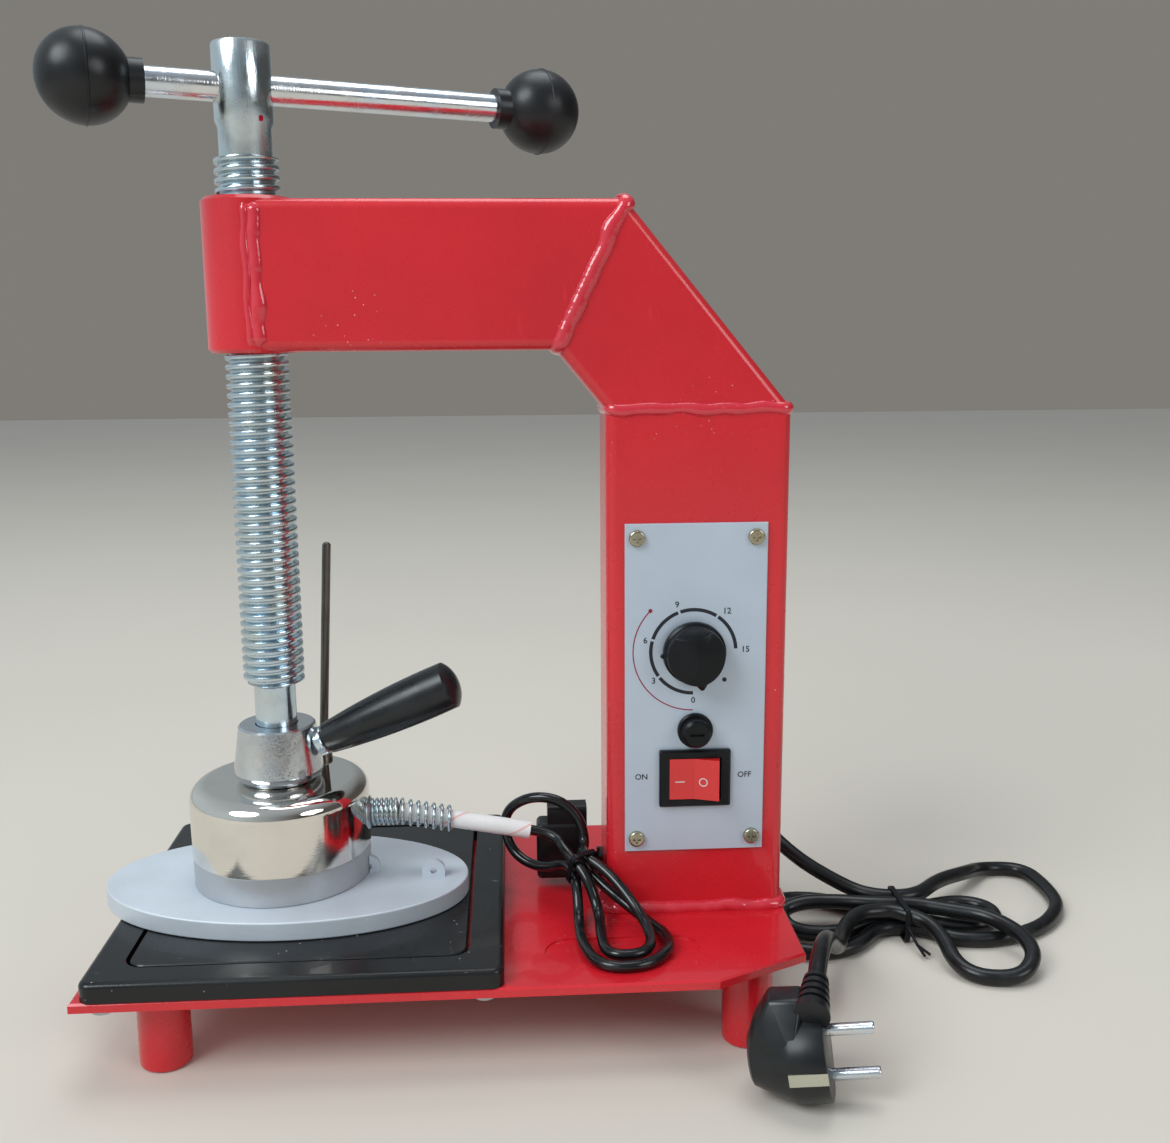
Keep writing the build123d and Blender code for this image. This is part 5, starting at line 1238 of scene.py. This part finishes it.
@dataclass
class PressScrew:
    """Press screw with a real helical thread, a plain head and two necks."""

    thread_radius: float = 0.0134
    root_radius: float = 0.0114
    core_radius: float = 0.0108
    pitch: float = 0.004
    thread_low: float = DECK + 0.108
    thread_high: float = DECK + 0.332
    lower_neck: float = 0.0091
    chamfer: float = 0.0006
    groove_radius: float = 0.0066
    groove_low: float = DECK + 0.0662
    groove_high: float = DECK + 0.0698
    foot: float = DECK + 0.065
    upper_neck: float = 0.0109
    neck_high: float = DECK + 0.344
    head_radius: float = 0.0120
    head_low: float = DECK + 0.3465
    head_high: float = DECK + 0.3775
    bar_height: float = DECK + 0.3597
    bar_turn: float = 22.0
    bar_hole: float = 0.0061
    steps: int = 40
    doublings: int = 6
    sides: int = 48
    ridge: Profile = (
        (0.0, 0.0),
        (0.16, 0.0),
        (0.30, 0.6),
        (0.37, 0.93),
        (0.44, 1.0),
        (0.72, 1.0),
        (0.79, 0.93),
        (0.86, 0.6),
        (1.0, 0.0),
    )

    def build(self) -> None:
        """Makes the thread, the shank and the drilled head as one piece."""
        shape = bmesh.new()
        self._thread(shape)
        self._shank(shape)
        self._head(shape)
        to_piece(
            shape,
            "screw_with_thread",
            FINISH.screw_zinc,
            Body.SCREW,
            32.0,
            ["press_screw"],
        )

    def _thread(self, shape: Shape) -> None:
        """Spins one pitch of the ridge into a helix and cuts it off square at both ends.

        Args:
            shape: The bmesh that gets the thread.
        """
        low = self.thread_low - 1.5 * self.pitch
        depth = self.thread_radius - self.root_radius
        start = SCREW_X + self.root_radius
        verts = [
            shape.verts.new((start + depth * rise, 0.0, low + self.pitch * share))
            for share, rise in self.ridge
        ]
        edges = [shape.edges.new(pair) for pair in zip(verts, verts[1:])]
        bmesh.ops.spin(
            shape,
            geom=verts + edges,
            cent=(SCREW_X, 0.0, 0.0),
            axis=UP,
            dvec=(0.0, 0.0, self.pitch / self.steps),
            angle=math.tau,
            steps=self.steps,
        )
        for doubling in range(self.doublings):
            whole = shape.verts[:] + shape.edges[:] + shape.faces[:]
            copied = bmesh.ops.duplicate(shape, geom=whole)["geom"]
            verts = [item for item in copied if isinstance(item, bmesh.types.BMVert)]
            bmesh.ops.translate(shape, verts=verts, vec=(0.0, 0.0, self.pitch * 2**doubling))
        bmesh.ops.remove_doubles(shape, verts=shape.verts[:], dist=2e-6)
        cut_off(shape, (0.0, 0.0, self.thread_low), (0.0, 0.0, -1.0))
        cut_off(shape, (0.0, 0.0, self.thread_high), UP)

    def _shank(self, shape: Shape) -> None:
        """Adds the lower neck, with the collar's groove, up into the thread's core.

        Args:
            shape: The bmesh that gets the neck.
        """
        neck, core, groove = self.lower_neck, self.core_radius, self.groove_radius
        side = (
            (0.0, self.foot),
            (neck - self.chamfer, self.foot),
            (neck, self.foot + self.chamfer),
            (neck, self.groove_low),
            (groove, self.groove_low),
            (groove, self.groove_high),
            (neck, self.groove_high),
            (neck, self.thread_low - 0.002),
            (core, self.thread_low + 0.0004),
            (core, self.thread_low + 0.004),
            (0.0, self.thread_low + 0.004),
        )
        turned_solid(shape, side, Matrix.Translation((SCREW_X, 0.0, 0.0)), self.sides)

    def _head(self, shape: Shape) -> None:
        """Adds the upper neck and the head, with the bar's hole cut through.

        Args:
            shape: The bmesh that gets the solid.
        """
        neck, core, head = self.upper_neck, self.core_radius, self.head_radius
        side = (
            (0.0, self.thread_high - 0.004),
            (core, self.thread_high - 0.004),
            (core, self.thread_high - 0.0004),
            (neck, self.thread_high),
            (neck, self.neck_high),
            (head, self.head_low),
            (head, self.head_high - 0.0014),
            (head - 0.0005, self.head_high - 0.0004),
            (head - 0.0016, self.head_high),
            (0.0, self.head_high),
        )
        blank = bmesh.new()
        turned_solid(blank, side, Matrix.Translation((SCREW_X, 0.0, 0.0)), self.sides)
        turn = math.radians(self.bar_turn)
        way = Vector((math.cos(turn), math.sin(turn), 0.0))
        place = turned_frame(Vector((SCREW_X, 0.0, self.bar_height)), way)
        drill = bmesh.new()
        cylinder(drill, self.bar_hole, 4 * head, place, 40)
        for solid in (blank, drill):
            bmesh.ops.recalc_face_normals(solid, faces=solid.faces[:])
        head_blank = to_object(to_mesh(blank, "screw_head_blank"), "screw_head_blank")
        cutter = to_object(to_mesh(drill, "bar_hole_cutter"), "bar_hole_cutter")
        cut = head_blank.modifiers.new("bar_hole", "BOOLEAN")
        cut.operation = "DIFFERENCE"
        cut.solver = "EXACT"
        cut.object = cutter
        bpy.context.view_layer.update()
        evaluated = head_blank.evaluated_get(bpy.context.evaluated_depsgraph_get())
        drilled = bpy.data.meshes.new_from_object(evaluated)
        shape.from_mesh(drilled)
        for used in (head_blank, cutter):
            bpy.data.objects.remove(used)
        bpy.data.meshes.remove(drilled)


# ---------------------------------------------------------------- welds


@dataclass(frozen=True)
class BeadForm:
    """How one weld bead looks: its seed, radius, share of lumps and spread along the tube."""

    seed: float
    radius: float
    rough: float
    spread: float = 1.0


@dataclass
class Welds:
    """Lumpy painted weld beads at the joints of the tubes and the nut."""

    mitre_low: Point = (0.052415, 0.0, ARM_LOW)
    mitre_high: Point = (0.082148, 0.0, ARM_LOW + ARM_DEPTH)
    foot_rise: float = 0.0014
    foot_form: BeadForm = BeadForm(3.0, 0.0030, 0.34, 1.5)
    elbow_form: BeadForm = BeadForm(8.0, 0.0025, 0.26)
    mitre_form: BeadForm = BeadForm(21.0, 0.0033, 0.24)
    nut_beads: tuple[tuple[float, float, BeadForm], ...] = (
        (0.0052, 0.0196, BeadForm(33.0, 0.0030, 0.36)),
        (0.0014, 0.0197, BeadForm(35.0, 0.0016, 0.25)),
    )
    nut_span: range = range(2, 61)
    lump_length: float = 0.011
    grain_length: float = 0.0042
    drift_length: float = 0.012
    grain: float = 0.22
    ripple_length: float = 0.0024
    ripple: float = 0.012
    sink: float = 0.4
    wander: float = 0.45
    width: float = 1.15
    height: float = 0.95
    tip: float = 0.35
    growth: float = 0.22
    corner_steps: int = 5
    sides: int = 12
    step: float = 0.0008

    def build(self) -> None:
        """Makes the three groups of beads."""
        across, deep = Vector((1.0, 0.0, 0.0)), Vector((0.0, 1.0, 0.0))
        column = bmesh.new()
        for rise, form in ((self.foot_rise, self.foot_form), (COLUMN_HEIGHT, self.elbow_form)):
            centre = Vector((COLUMN_X, 0.0, DECK + rise))
            ring = self._outline(centre, across * COLUMN_DEPTH, deep * TUBE_WIDTH)
            self._bead(column, ring, True, form)
        self._to_piece(column, "column_weld_beads", "column_welds")

        arm = bmesh.new()
        low, high = Vector(self.mitre_low), Vector(self.mitre_high)
        ring = self._outline((low + high) / 2, high - low, deep * TUBE_WIDTH)
        self._bead(arm, ring, True, self.mitre_form)
        self._to_piece(arm, "arm_weld_bead", "arm_weld")

        nut = bmesh.new()
        for side in (-1, 1):
            for shift, reach, form in self.nut_beads:
                path = [
                    (Vector((SCREW_X + shift, side * reach, ARM_LOW + height * MM)), deep * side)
                    for height in self.nut_span
                ]
                self._bead(nut, path, False, form)
        self._to_piece(nut, "nut_weld_beads", "nut_welds")

    @staticmethod
    def _to_piece(shape: Shape, name: str, node: str) -> None:
        """Makes beads a piece of painted weld that stands for a CAD node."""
        to_piece(shape, name, FINISH.weld_red, Body.FRAME, 60.0, [node])

    def _outline(self, centre: Vector, width: Vector, depth: Vector) -> Outline:
        """Points and outward directions round a tube's rounded outline.

        Args:
            centre: The outline's middle.
            width: The way and length across it.
            depth: The way and length from its front to its back.

        Returns:
            A closed list of points and outward directions.
        """
        outline: Outline = []
        across, deep = width.normalized(), depth.normalized()
        half_u = width.length / 2 - TUBE_CORNER
        half_v = depth.length / 2 - TUBE_CORNER
        quarters = (
            (1, 1, -across, half_u),
            (-1, 1, -deep, half_v),
            (-1, -1, across, half_u),
            (1, -1, deep, half_v),
        )
        for quarter, (sign_u, sign_v, along, half) in enumerate(quarters):
            corner = centre + across * sign_u * half_u + deep * sign_v * half_v
            for step in range(self.corner_steps + 1):
                angle = math.radians(90 * quarter + 90 * step / self.corner_steps)
                out = across * math.cos(angle) + deep * math.sin(angle)
                outline.append((corner + out * TUBE_CORNER, out))
            start, out = outline[-1]
            steps = round(2 * half / self.step)
            outline += [(start + along * 2 * half * step / steps, out) for step in range(1, steps)]
        return outline

    def _bead(self, shape: Shape, path: Outline, closed: bool, form: BeadForm) -> None:
        """Sweeps a bead along a path, thicker and thinner as the arc went.

        Args:
            shape: The bmesh that gets the bead.
            path: Points and outward directions.
            closed: True for a ring.
            form: The bead's look.
        """
        stations: list[Matrix] = []
        run = 0.0
        last = len(path) - 1
        for index, (point, out) in enumerate(path):
            after = path[(index + 1) % len(path)][0] if closed or index < last else point
            before = path[index - 1][0] if closed or index else point
            if index:
                run += (point - path[index - 1][0]).length
            lump = noise.noise(Vector((run / self.lump_length, form.seed, 0.0)))
            grain = noise.noise(Vector((run / self.grain_length, form.seed, 9.0)))
            drift = noise.noise(Vector((run / self.drift_length, form.seed + 40.0, 5.0)))
            wave = math.sin(math.tau * run / self.ripple_length + 3.0 * drift)
            uneven = form.rough * (lump + self.grain * grain) + self.ripple * wave
            size = form.radius * (1 + uneven)
            if not closed:
                size *= min(1.0, self.tip + self.growth * min(index, last - index))
            forward = after - before
            aside = forward.normalized().cross(out) * form.radius * self.wander * drift
            flat = (size * self.width, size * self.height * form.spread, size, 1.0)
            centre = point - out * form.radius * self.sink + aside
            stations.append(turned_frame(centre, forward, out) @ Matrix.Diagonal(flat))
        swept(shape, stations, self.sides, closed)


# ---------------------------------------------------------------- head


@dataclass
class CableOutlet:
    """The nipple, the spring and the white sleeve of the head's cable outlet."""

    foot: Point = (-0.021603, 0.0, 0.0828)
    out: Point = (0.98294, 0.0, -0.18395)
    level: Point = (1.0, 0.0, 0.0)
    sleeve_radius: float = 0.004
    sleeve_bore: float = 0.003
    sleeve_length: float = 0.061
    sleeve_rings: int = 60
    sleeve_wave: float = 0.012
    sleeve_wave_length: float = 0.008
    bore_depth: float = 0.006
    coil_radius: float = 0.00535
    nipple_coil_radius: float = 0.0056
    wire: float = 0.00078
    nipple_start: float = -0.0128
    spring_end: float = 0.0252
    close_turns: float = 6.0
    open_turns: float = 7.0
    steps_per_turn: int = 22
    nipple_side: Profile = (
        (0.0, -0.0170),
        (0.0084, -0.0170),
        (0.0086, -0.0160),
        (0.0082, -0.0144),
        (0.0072, -0.0131),
        (0.0060, -0.0127),
        (0.0049, -0.0127),
        (0.0049, -0.0012),
        (0.0044, -0.0006),
        (0.0, -0.0006),
    )

    def build(self) -> None:
        """Makes the nipple, which rides on the head, and the sleeve and spring, which ride on no
        body.
        """
        shape = bmesh.new()
        place = turned_frame(Vector(self.foot), Vector(self.level))
        turned_solid(shape, self.nipple_side, place, 40)
        finish = FINISH.spring_steel
        to_piece(shape, "cable_nipple", finish, Body.HEAD, 50.0, ["gland_nipple"])
        for piece in (self._sleeve(), self._spring()):
            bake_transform(piece)

    def _sleeve(self) -> bpy.types.Object:
        """Makes the open-ended sleeve, and a UV map that runs along and round it.

        Returns:
            The sleeve's piece.
        """
        shape = bmesh.new()
        length = self.sleeve_length
        turn = turned_frame(Vector(self.foot), Vector(self.out))
        outer = [
            (length * step / self.sleeve_rings, self.sleeve_radius)
            for step in range(self.sleeve_rings + 1)
        ]
        inner = [(length, self.sleeve_bore), (length - self.bore_depth, self.sleeve_bore)]
        stations = []
        for height, radius in outer + inner:
            uneven = noise.noise(Vector((height / self.sleeve_wave_length, 3.0, 1.0)))
            size = radius * (1 + self.sleeve_wave * uneven)
            wide = Matrix.Diagonal((size, size, 1.0, 1.0))
            stations.append(turn @ Matrix.Translation((0.0, 0.0, height)) @ wide)
        swept(shape, stations, 28, False)
        layer = shape.loops.layers.uv.new("UVMap")
        back = turn.inverted()
        for face in shape.faces:
            middle = back @ face.calc_center_median()
            around = math.atan2(middle.y, middle.x) / math.tau
            for loop in face.loops:
                spot = back @ loop.vert.co
                angle = math.atan2(spot.y, spot.x) / math.tau
                loop[layer].uv = (spot.z / length, angle + round(around - angle))
        finish = FINISH.sleeve
        return to_piece(
            shape, "fibre_sleeve_tube", finish, None, 40.0, ["lead_sleeve"]
        )

    def _spring(self) -> bpy.types.Object:
        """Makes the coil spring: close turns over the nipple, open turns over the sleeve.

        Returns:
            The spring's piece.
        """
        foot, out, level = Vector(self.foot), Vector(self.out), Vector(self.level)
        count = round((self.close_turns + self.open_turns) * self.steps_per_turn)
        centres: list[Vector] = []
        radials: list[Vector] = []
        for step in range(count + 1):
            turned = step / self.steps_per_turn
            if turned < self.close_turns:
                height = self.nipple_start * (1 - turned / self.close_turns)
            else:
                height = self.spring_end * (turned - self.close_turns) / self.open_turns
            bend = min(1.0, max(0.0, (height + 0.002) / 0.004))
            slim = min(1.0, max(0.0, (height + 0.003) / 0.006))
            radius = self.nipple_coil_radius + (self.coil_radius - self.nipple_coil_radius) * slim
            axis = foot + (level if height < 0 else out) * height
            place = turned_frame(axis, level.lerp(out, bend).normalized())
            angle = math.tau * turned
            radial = place.to_3x3() @ Vector((math.cos(angle), math.sin(angle), 0.0))
            centres.append(axis + radial * radius)
            radials.append(radial)
        thick = Matrix.Diagonal((self.wire, self.wire, 1.0, 1.0))
        stations = []
        for index, (centre, radial) in enumerate(zip(centres, radials)):
            forward = centres[min(index + 1, count)] - centres[max(index - 1, 0)]
            stations.append(turned_frame(centre, forward, radial) @ thick)
        shape = bmesh.new()
        swept(shape, stations, 8, False)
        finish = FINISH.spring_steel
        return to_piece(
            shape, "relief_coil_spring", finish, None, 60.0, ["relief_spring"]
        )


# ---------------------------------------------------------------- panel


@dataclass
class PanelPrint:
    """What is printed on the panel: the dial's arcs, numbers, dots, ON and OFF."""

    dial_x: float = 0.111
    dial_z: float = DECK + 0.1222
    thickness: float = 0.00008
    arc_radius: float = 0.0188
    arc_width: float = 0.00155
    arcs: int = 5
    step: float = 53.4
    start: float = -90.0
    gap: float = 3.2
    dot: tuple[float, float, float] = (0.0191, -43.0, 0.001)
    red_radius: float = 0.0266
    red_width: float = 0.0005
    red_end: float = -224.4
    red_dot: float = 0.0009
    number_size: float = 0.0038
    numbers: tuple[tuple[str, float, float], ...] = (
        ("0", 0.0001, -0.0222),
        ("3", -0.0175, -0.0130),
        ("6", -0.0212, 0.0053),
        ("9", -0.0073, 0.0211),
        ("12", 0.0147, 0.0179),
        ("15", 0.0231, 0.0005),
    )
    word_size: float = 0.0036
    words: tuple[tuple[str, float, float], ...] = (
        ("ON", -0.0228, -0.0573),
        ("OFF", 0.0236, -0.0573),
    )

    def build(self) -> None:
        """Makes the marks as thin pieces on the panel's face."""
        scale = bmesh.new()
        for part in range(self.arcs):
            first = self.start - self.step * part - (self.gap / 2 if part else 0.0)
            last = self.start - self.step * (part + 1)
            last += self.gap / 2 if part < self.arcs - 1 else 0.0
            self._arc(scale, self.arc_radius, self.arc_width, first, last)
        self._dot(scale, *self.dot)
        to_piece(scale, "dial_scale", FINISH.print_black, Body.FRAME)
        line = bmesh.new()
        self._arc(line, self.red_radius, self.red_width, self.start, self.red_end)
        self._dot(line, self.red_radius, self.red_end, self.red_dot)
        to_piece(line, "dial_range_line", FINISH.print_red, Body.FRAME)
        letters = bmesh.new()
        for texts, size in ((self.numbers, self.number_size), (self.words, self.word_size)):
            for text, x, z in texts:
                self._word(letters, text, self.dial_x + x, self.dial_z + z, size)
        bmesh.ops.remove_doubles(letters, verts=letters.verts[:], dist=1e-7)
        to_piece(letters, "dial_numbers", FINISH.print_black, Body.FRAME)

    def _arc(self, shape: Shape, radius: float, width: float, first: float, last: float) -> None:
        """A thin flat arc, spun from a small upright rectangle.

        Args:
            shape: The bmesh that gets the arc.
            radius: Its mean radius.
            width: Its width.
            first: Its start, in degrees from +X towards +Z.
            last: Its end.
        """
        low, high, rise = radius - width / 2, radius + width / 2, -self.thickness
        centre = Vector((self.dial_x, PANEL_FACE, self.dial_z))
        start = math.radians(first)
        way = Vector((math.cos(start), 0.0, math.sin(start)))
        verts = [
            shape.verts.new(centre + way * reach + Vector((0.0, height, 0.0)))
            for reach, height in ((low, 0.0), (high, 0.0), (high, rise), (low, rise))
        ]
        bmesh.ops.spin(
            shape,
            geom=[shape.faces.new(verts)],
            cent=centre,
            axis=TO_VIEWER,
            angle=math.radians(last - first),
            steps=max(8, round(abs(last - first) / 3)),
        )

    def _dot(self, shape: Shape, radius: float, angle: float, size: float) -> None:
        """Adds a thin round dot on a circle about the dial's middle.

        Args:
            shape: The bmesh that gets the dot.
            radius: The circle's radius.
            angle: The dot's place on it, in degrees from +X towards +Z.
            size: The dot's own radius.
        """
        turn = math.radians(angle)
        x = self.dial_x + radius * math.cos(turn)
        z = self.dial_z + radius * math.sin(turn)
        centre = Vector((x, PANEL_FACE - self.thickness / 2, z))
        cylinder(shape, size, self.thickness, turned_frame(centre, Vector(TO_VIEWER)), 20)

    def _word(self, shape: Shape, text: str, x: float, z: float, size: float) -> None:
        """Adds a word as thin letters about a middle.

        Args:
            shape: The bmesh that gets the letters.
            text: The word.
            x: Its middle from left to right.
            z: Its middle's height.
            size: The size of its letters.
        """
        data = bpy.data.curves.new(text, "FONT")
        data.body = text
        data.size = size
        data.align_x = "CENTER"
        data.align_y = "CENTER"
        data.extrude = self.thickness / 2
        data.offset = size * 0.012
        data.resolution_u = 3
        word = to_object(data, text)
        mesh = bpy.data.meshes.new_from_object(word)
        bpy.data.objects.remove(word)
        place = Matrix.Translation((x, PANEL_FACE - self.thickness / 2, z))
        mesh.transform(place @ Matrix.Rotation(math.radians(90), 4, "X"))
        shape.from_mesh(mesh)


@dataclass
class RockerMarks:
    """The white bar and ring on the rocker's two faces."""

    pivot: Point = (0.112061, -0.0221, DECK + 0.0643)
    half: float = 0.0110
    rise: float = 0.004
    tilt: float = 10.0
    bar_share: float = 0.58
    ring_share: float = 0.36
    mark_drop: float = 0.0012
    proud: float = 0.00002
    bar_size: Point = (0.0042, 0.0005, 0.0001)
    ring_side: Profile = (
        (0.0015, -0.00005),
        (0.0020, -0.00005),
        (0.0020, 0.00005),
        (0.0015, 0.00005),
    )

    def build(self) -> None:
        """Makes the marks on the rocker, a little proud of it."""
        tilt = math.radians(self.tilt)
        base = Matrix.Translation(self.pivot) @ Matrix.Rotation(-tilt, 4, "Z")
        start = Vector((0.0, self.half * math.tan(tilt) - self.rise, 0.0))
        places = []
        for side, share in ((-1, self.bar_share), (1, self.ring_share)):
            end = Vector((side * self.half, -self.rise, 0.0))
            along = (end - start).normalized()
            out = Vector((along.y, -along.x, 0.0)) * side
            middle = start.lerp(end, share) - Vector(UP) * self.mark_drop + out * self.proud
            places.append(base @ turned_frame(middle, out))
        shape = bmesh.new()
        bar = places[0] @ Matrix.Diagonal((*self.bar_size, 1.0))
        bmesh.ops.create_cube(shape, size=1.0, matrix=bar)
        turned_solid(shape, self.ring_side, places[1], 28, ring=True)
        to_piece(shape, "rocker_marks", FINISH.print_white, Body.ROCKER)


@dataclass
class TimerKnob:
    """Timer knob: a round skirt and a face like a low roof, with a notch and a pointer."""

    place: Point = (0.111061, -0.0240, DECK + 0.1223)
    turn: float = 10.0
    skirt_radius: float = 0.0140
    skirt_height: float = 0.0030
    body_radius: float = 0.0130
    taper: float = 0.0006
    ridge: float = 0.0116
    roof: float = 17.0
    notch_y: float = 0.0072
    notch_slope: float = 42.0
    soft_angle: float = 20.0
    soft_width: float = 0.0005
    nub: Point = (-0.0140, 0.0015, 0.0014)
    nub_radius: float = 0.0011
    pointer_foot: float = 0.0020
    pointer_ends: tuple[Point, ...] = ((0.0088, 0.0040, 0.0106), (0.0137, 0.0013, 0.0088))

    def build(self) -> None:
        """Makes the knob in its own frame, then stands it on the panel."""
        shape = bmesh.new()
        middle = Matrix.Translation((0.0, 0.0, self.ridge / 2))
        cylinder(shape, self.body_radius, self.ridge, middle, 72, self.taper)
        for degrees in (self.roof, -self.roof):
            angle = math.radians(degrees)
            cut_off(shape, (0.0, 0.0, self.ridge), (math.sin(angle), 0.0, math.cos(angle)))
        slope = math.radians(self.notch_slope)
        notch = (0.0, math.sin(slope), math.cos(slope))
        cut_off(shape, (0.0, self.notch_y, self.ridge), notch)
        self._soften(shape)
        self._pointer(shape)
        radius, height = self.skirt_radius, self.skirt_height
        skirt = (
            (0.0, 0.0),
            (radius - 0.0003, 0.0),
            (radius, 0.0004),
            (radius - 0.0002, height - 0.0008),
            (radius - 0.0012, height),
            (0.0, height),
        )
        turned_solid(shape, skirt, Matrix.Identity(4), 72)
        nub = Matrix.Translation(self.nub)
        bmesh.ops.create_uvsphere(
            shape, u_segments=14, v_segments=8, radius=self.nub_radius, matrix=nub
        )
        lean = Matrix.Rotation(math.radians(-self.turn), 4, "Y")
        stand = Matrix.Translation(self.place) @ lean @ Matrix.Rotation(math.radians(90), 4, "X")
        bmesh.ops.transform(shape, matrix=stand, verts=shape.verts[:])
        finish = FINISH.plastic
        to_piece(
            shape, "timer_knob_body", finish, Body.TIMER, 24.0, ["timer_knob"]
        )

    def _soften(self, shape: Shape) -> None:
        """Rounds the knob's sharp edges.

        Args:
            shape: The knob's bmesh.
        """
        least = math.radians(self.soft_angle)
        edges = [edge for edge in shape.edges if edge.calc_face_angle(0.0) > least]
        bmesh.ops.bevel(
            shape,
            geom=edges,
            offset=self.soft_width,
            segments=2,
            affect="EDGES",
            profile=0.5,
            material=-1,
        )

    def _pointer(self, shape: Shape) -> None:
        """Adds the pointer's wedge, from the body to its tip.

        Args:
            shape: The bmesh that gets the wedge.
        """
        wedge = bmesh.new()
        for reach, radius, top in self.pointer_ends:
            for height in (self.pointer_foot, top):
                place = Matrix.Translation((0.0, -reach, height))
                bmesh.ops.create_circle(wedge, segments=20, radius=radius, matrix=place)
        to_hull(wedge)
        add_part(shape, wedge)


# ---------------------------------------------------------------- plug


@dataclass
class PlugBody:
    """Mains plug's body: a drum, a shoulder that rises to the cord, and a ribbed relief."""

    x: float = 0.152761
    y: float = -0.110
    floor_gap: float = 0.0003
    lean: float = 10.0
    turn: float = 15.0
    radius: float = 0.0186
    rim: float = 0.0140
    back: float = 0.0110
    depth: float = 0.0310
    edge: float = 0.0011
    half_neck: float = 0.0045
    half_heel: float = 0.0060
    knuckles: tuple[Point, ...] = (
        (-0.0190, 0.0262, 0.0022),
        (-0.0088, 0.0258, 0.0022),
        (-0.0250, 0.0175, 0.0030),
    )
    relief_tip: Point = (0.149961, -0.098, 0.0452)
    relief_way: Point = (0.94, 0.22, 0.1)
    relief_length: float = 0.020
    relief_edge: float = 0.0004
    relief_radii: tuple[float, float] = (0.0072, 0.0050)
    ribs: int = 4
    rib_side: Profile = ((0.0, 0.0), (0.04, 0.0011), (0.40, 0.0011), (0.44, 0.0))

    def build(self) -> None:
        """Makes the body as one piece."""
        lean, turn = math.radians(self.lean), math.radians(self.turn)
        level = math.cos(lean)
        forward = Vector((math.cos(turn) * level, -math.sin(turn) * level, math.sin(lean)))
        side = Vector((math.sin(turn), math.cos(turn), 0.0))
        upward = forward.cross(side)
        rise = self.floor_gap + self.radius * level + self.rim * math.sin(lean)
        axes = Matrix((side, upward, forward)).transposed()
        stand = Matrix.Translation((self.x, self.y, rise)) @ axes.to_4x4()
        shape = bmesh.new()
        self._drum(shape, stand)
        self._shoulder(shape, stand)
        aside, above, ahead = self.relief_way
        out = (side * aside + upward * above + forward * ahead).normalized()
        foot = Vector(self.relief_tip) - out * self.relief_length
        self._relief(shape, turned_frame(foot, out))
        finish = FINISH.plug
        to_piece(shape, "mains_plug_body", finish, Body.FRAME, 30.0, ["plug_body"])

    def _drum(self, shape: Shape, stand: Matrix) -> None:
        """Adds the turned drum with its taper to the back.

        Args:
            shape: The bmesh that gets the drum.
            stand: The plug's own frame, with Z along its pins.
        """
        side = (
            (0.0, -self.depth),
            (self.back - 0.002, -self.depth),
            (self.back, -self.depth + 0.001),
            (self.radius - 0.0008, -self.rim - 0.0016),
            (self.radius, -self.rim + 0.0004),
            (self.radius, -self.edge),
            (self.radius - self.edge * 0.3, -self.edge * 0.3),
            (self.radius - self.edge, 0.0),
            (0.0, 0.0),
        )
        turned_solid(shape, side, stand, 72)

    def _shoulder(self, shape: Shape, stand: Matrix) -> None:
        """Adds the shoulder: a hull from the drum's back to the top of the neck.

        Args:
            shape: The bmesh that gets the shoulder.
            stand: The plug's own frame, with Z along its pins.
        """
        hull = bmesh.new()
        ends = ((self.radius - 0.0006, -self.rim + 0.001), (self.back, -self.depth + 0.001))
        for radius, along in ends:
            place = Matrix.Translation((0.0, 0.0, along))
            bmesh.ops.create_circle(hull, segments=56, radius=radius, matrix=place)
        halves = (self.half_neck, self.half_neck, self.half_heel)
        for half, (along, height, radius) in zip(halves, self.knuckles):
            for x in (-half, half):
                place = Matrix.Translation((x, height - radius, along))
                bmesh.ops.create_icosphere(hull, subdivisions=2, radius=radius, matrix=place)
        to_hull(hull)
        bmesh.ops.transform(hull, matrix=stand, verts=hull.verts[:])
        add_part(shape, hull)

    def _relief(self, shape: Shape, stand: Matrix) -> None:
        """Adds the ribbed strain relief.

        Args:
            shape: The bmesh that gets the relief.
            stand: The relief's foot, with Z along it.
        """
        foot_radius, tip_radius = self.relief_radii
        pitch = self.relief_length / (self.ribs + 1)
        side = [(0.0, 0.0), (foot_radius, 0.0)]
        for rib in range(1, self.ribs + 1):
            for share, depth in self.rib_side:
                height = (rib + share) * pitch
                radius = foot_radius + (tip_radius - foot_radius) * height / self.relief_length
                side.append((radius - depth, height))
        side.append((tip_radius, self.relief_length - self.relief_edge))
        side.append((tip_radius - self.relief_edge, self.relief_length))
        side.append((0.0, self.relief_length))
        turned_solid(shape, side, stand, 40)


# ---------------------------------------------------------------- scene


def main() -> None:
    """Builds the scene in order: camera, cords, then every other piece."""
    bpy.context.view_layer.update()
    bpy.context.scene.view_settings.view_transform = "Standard"
    builders: list[tuple[str, Callable[[], None]]] = [
        ("camera", PhotoCamera().build),
        ("mains cord", MainsCord().build),
        ("head lead", HeadLead().build),
        ("stage", Stage().build),
        ("CAD nodes", NodeDresser().build),
        ("screw", PressScrew().build),
        ("welds", Welds().build),
        ("cable outlet", CableOutlet().build),
        ("panel print", PanelPrint().build),
        ("rocker marks", RockerMarks().build),
        ("timer knob", TimerKnob().build),
        ("plug body", PlugBody().build),
    ]
    for name, build in builders:
        build()
        log.info("built: %s", name)


if __name__ == "__main__":
    main()
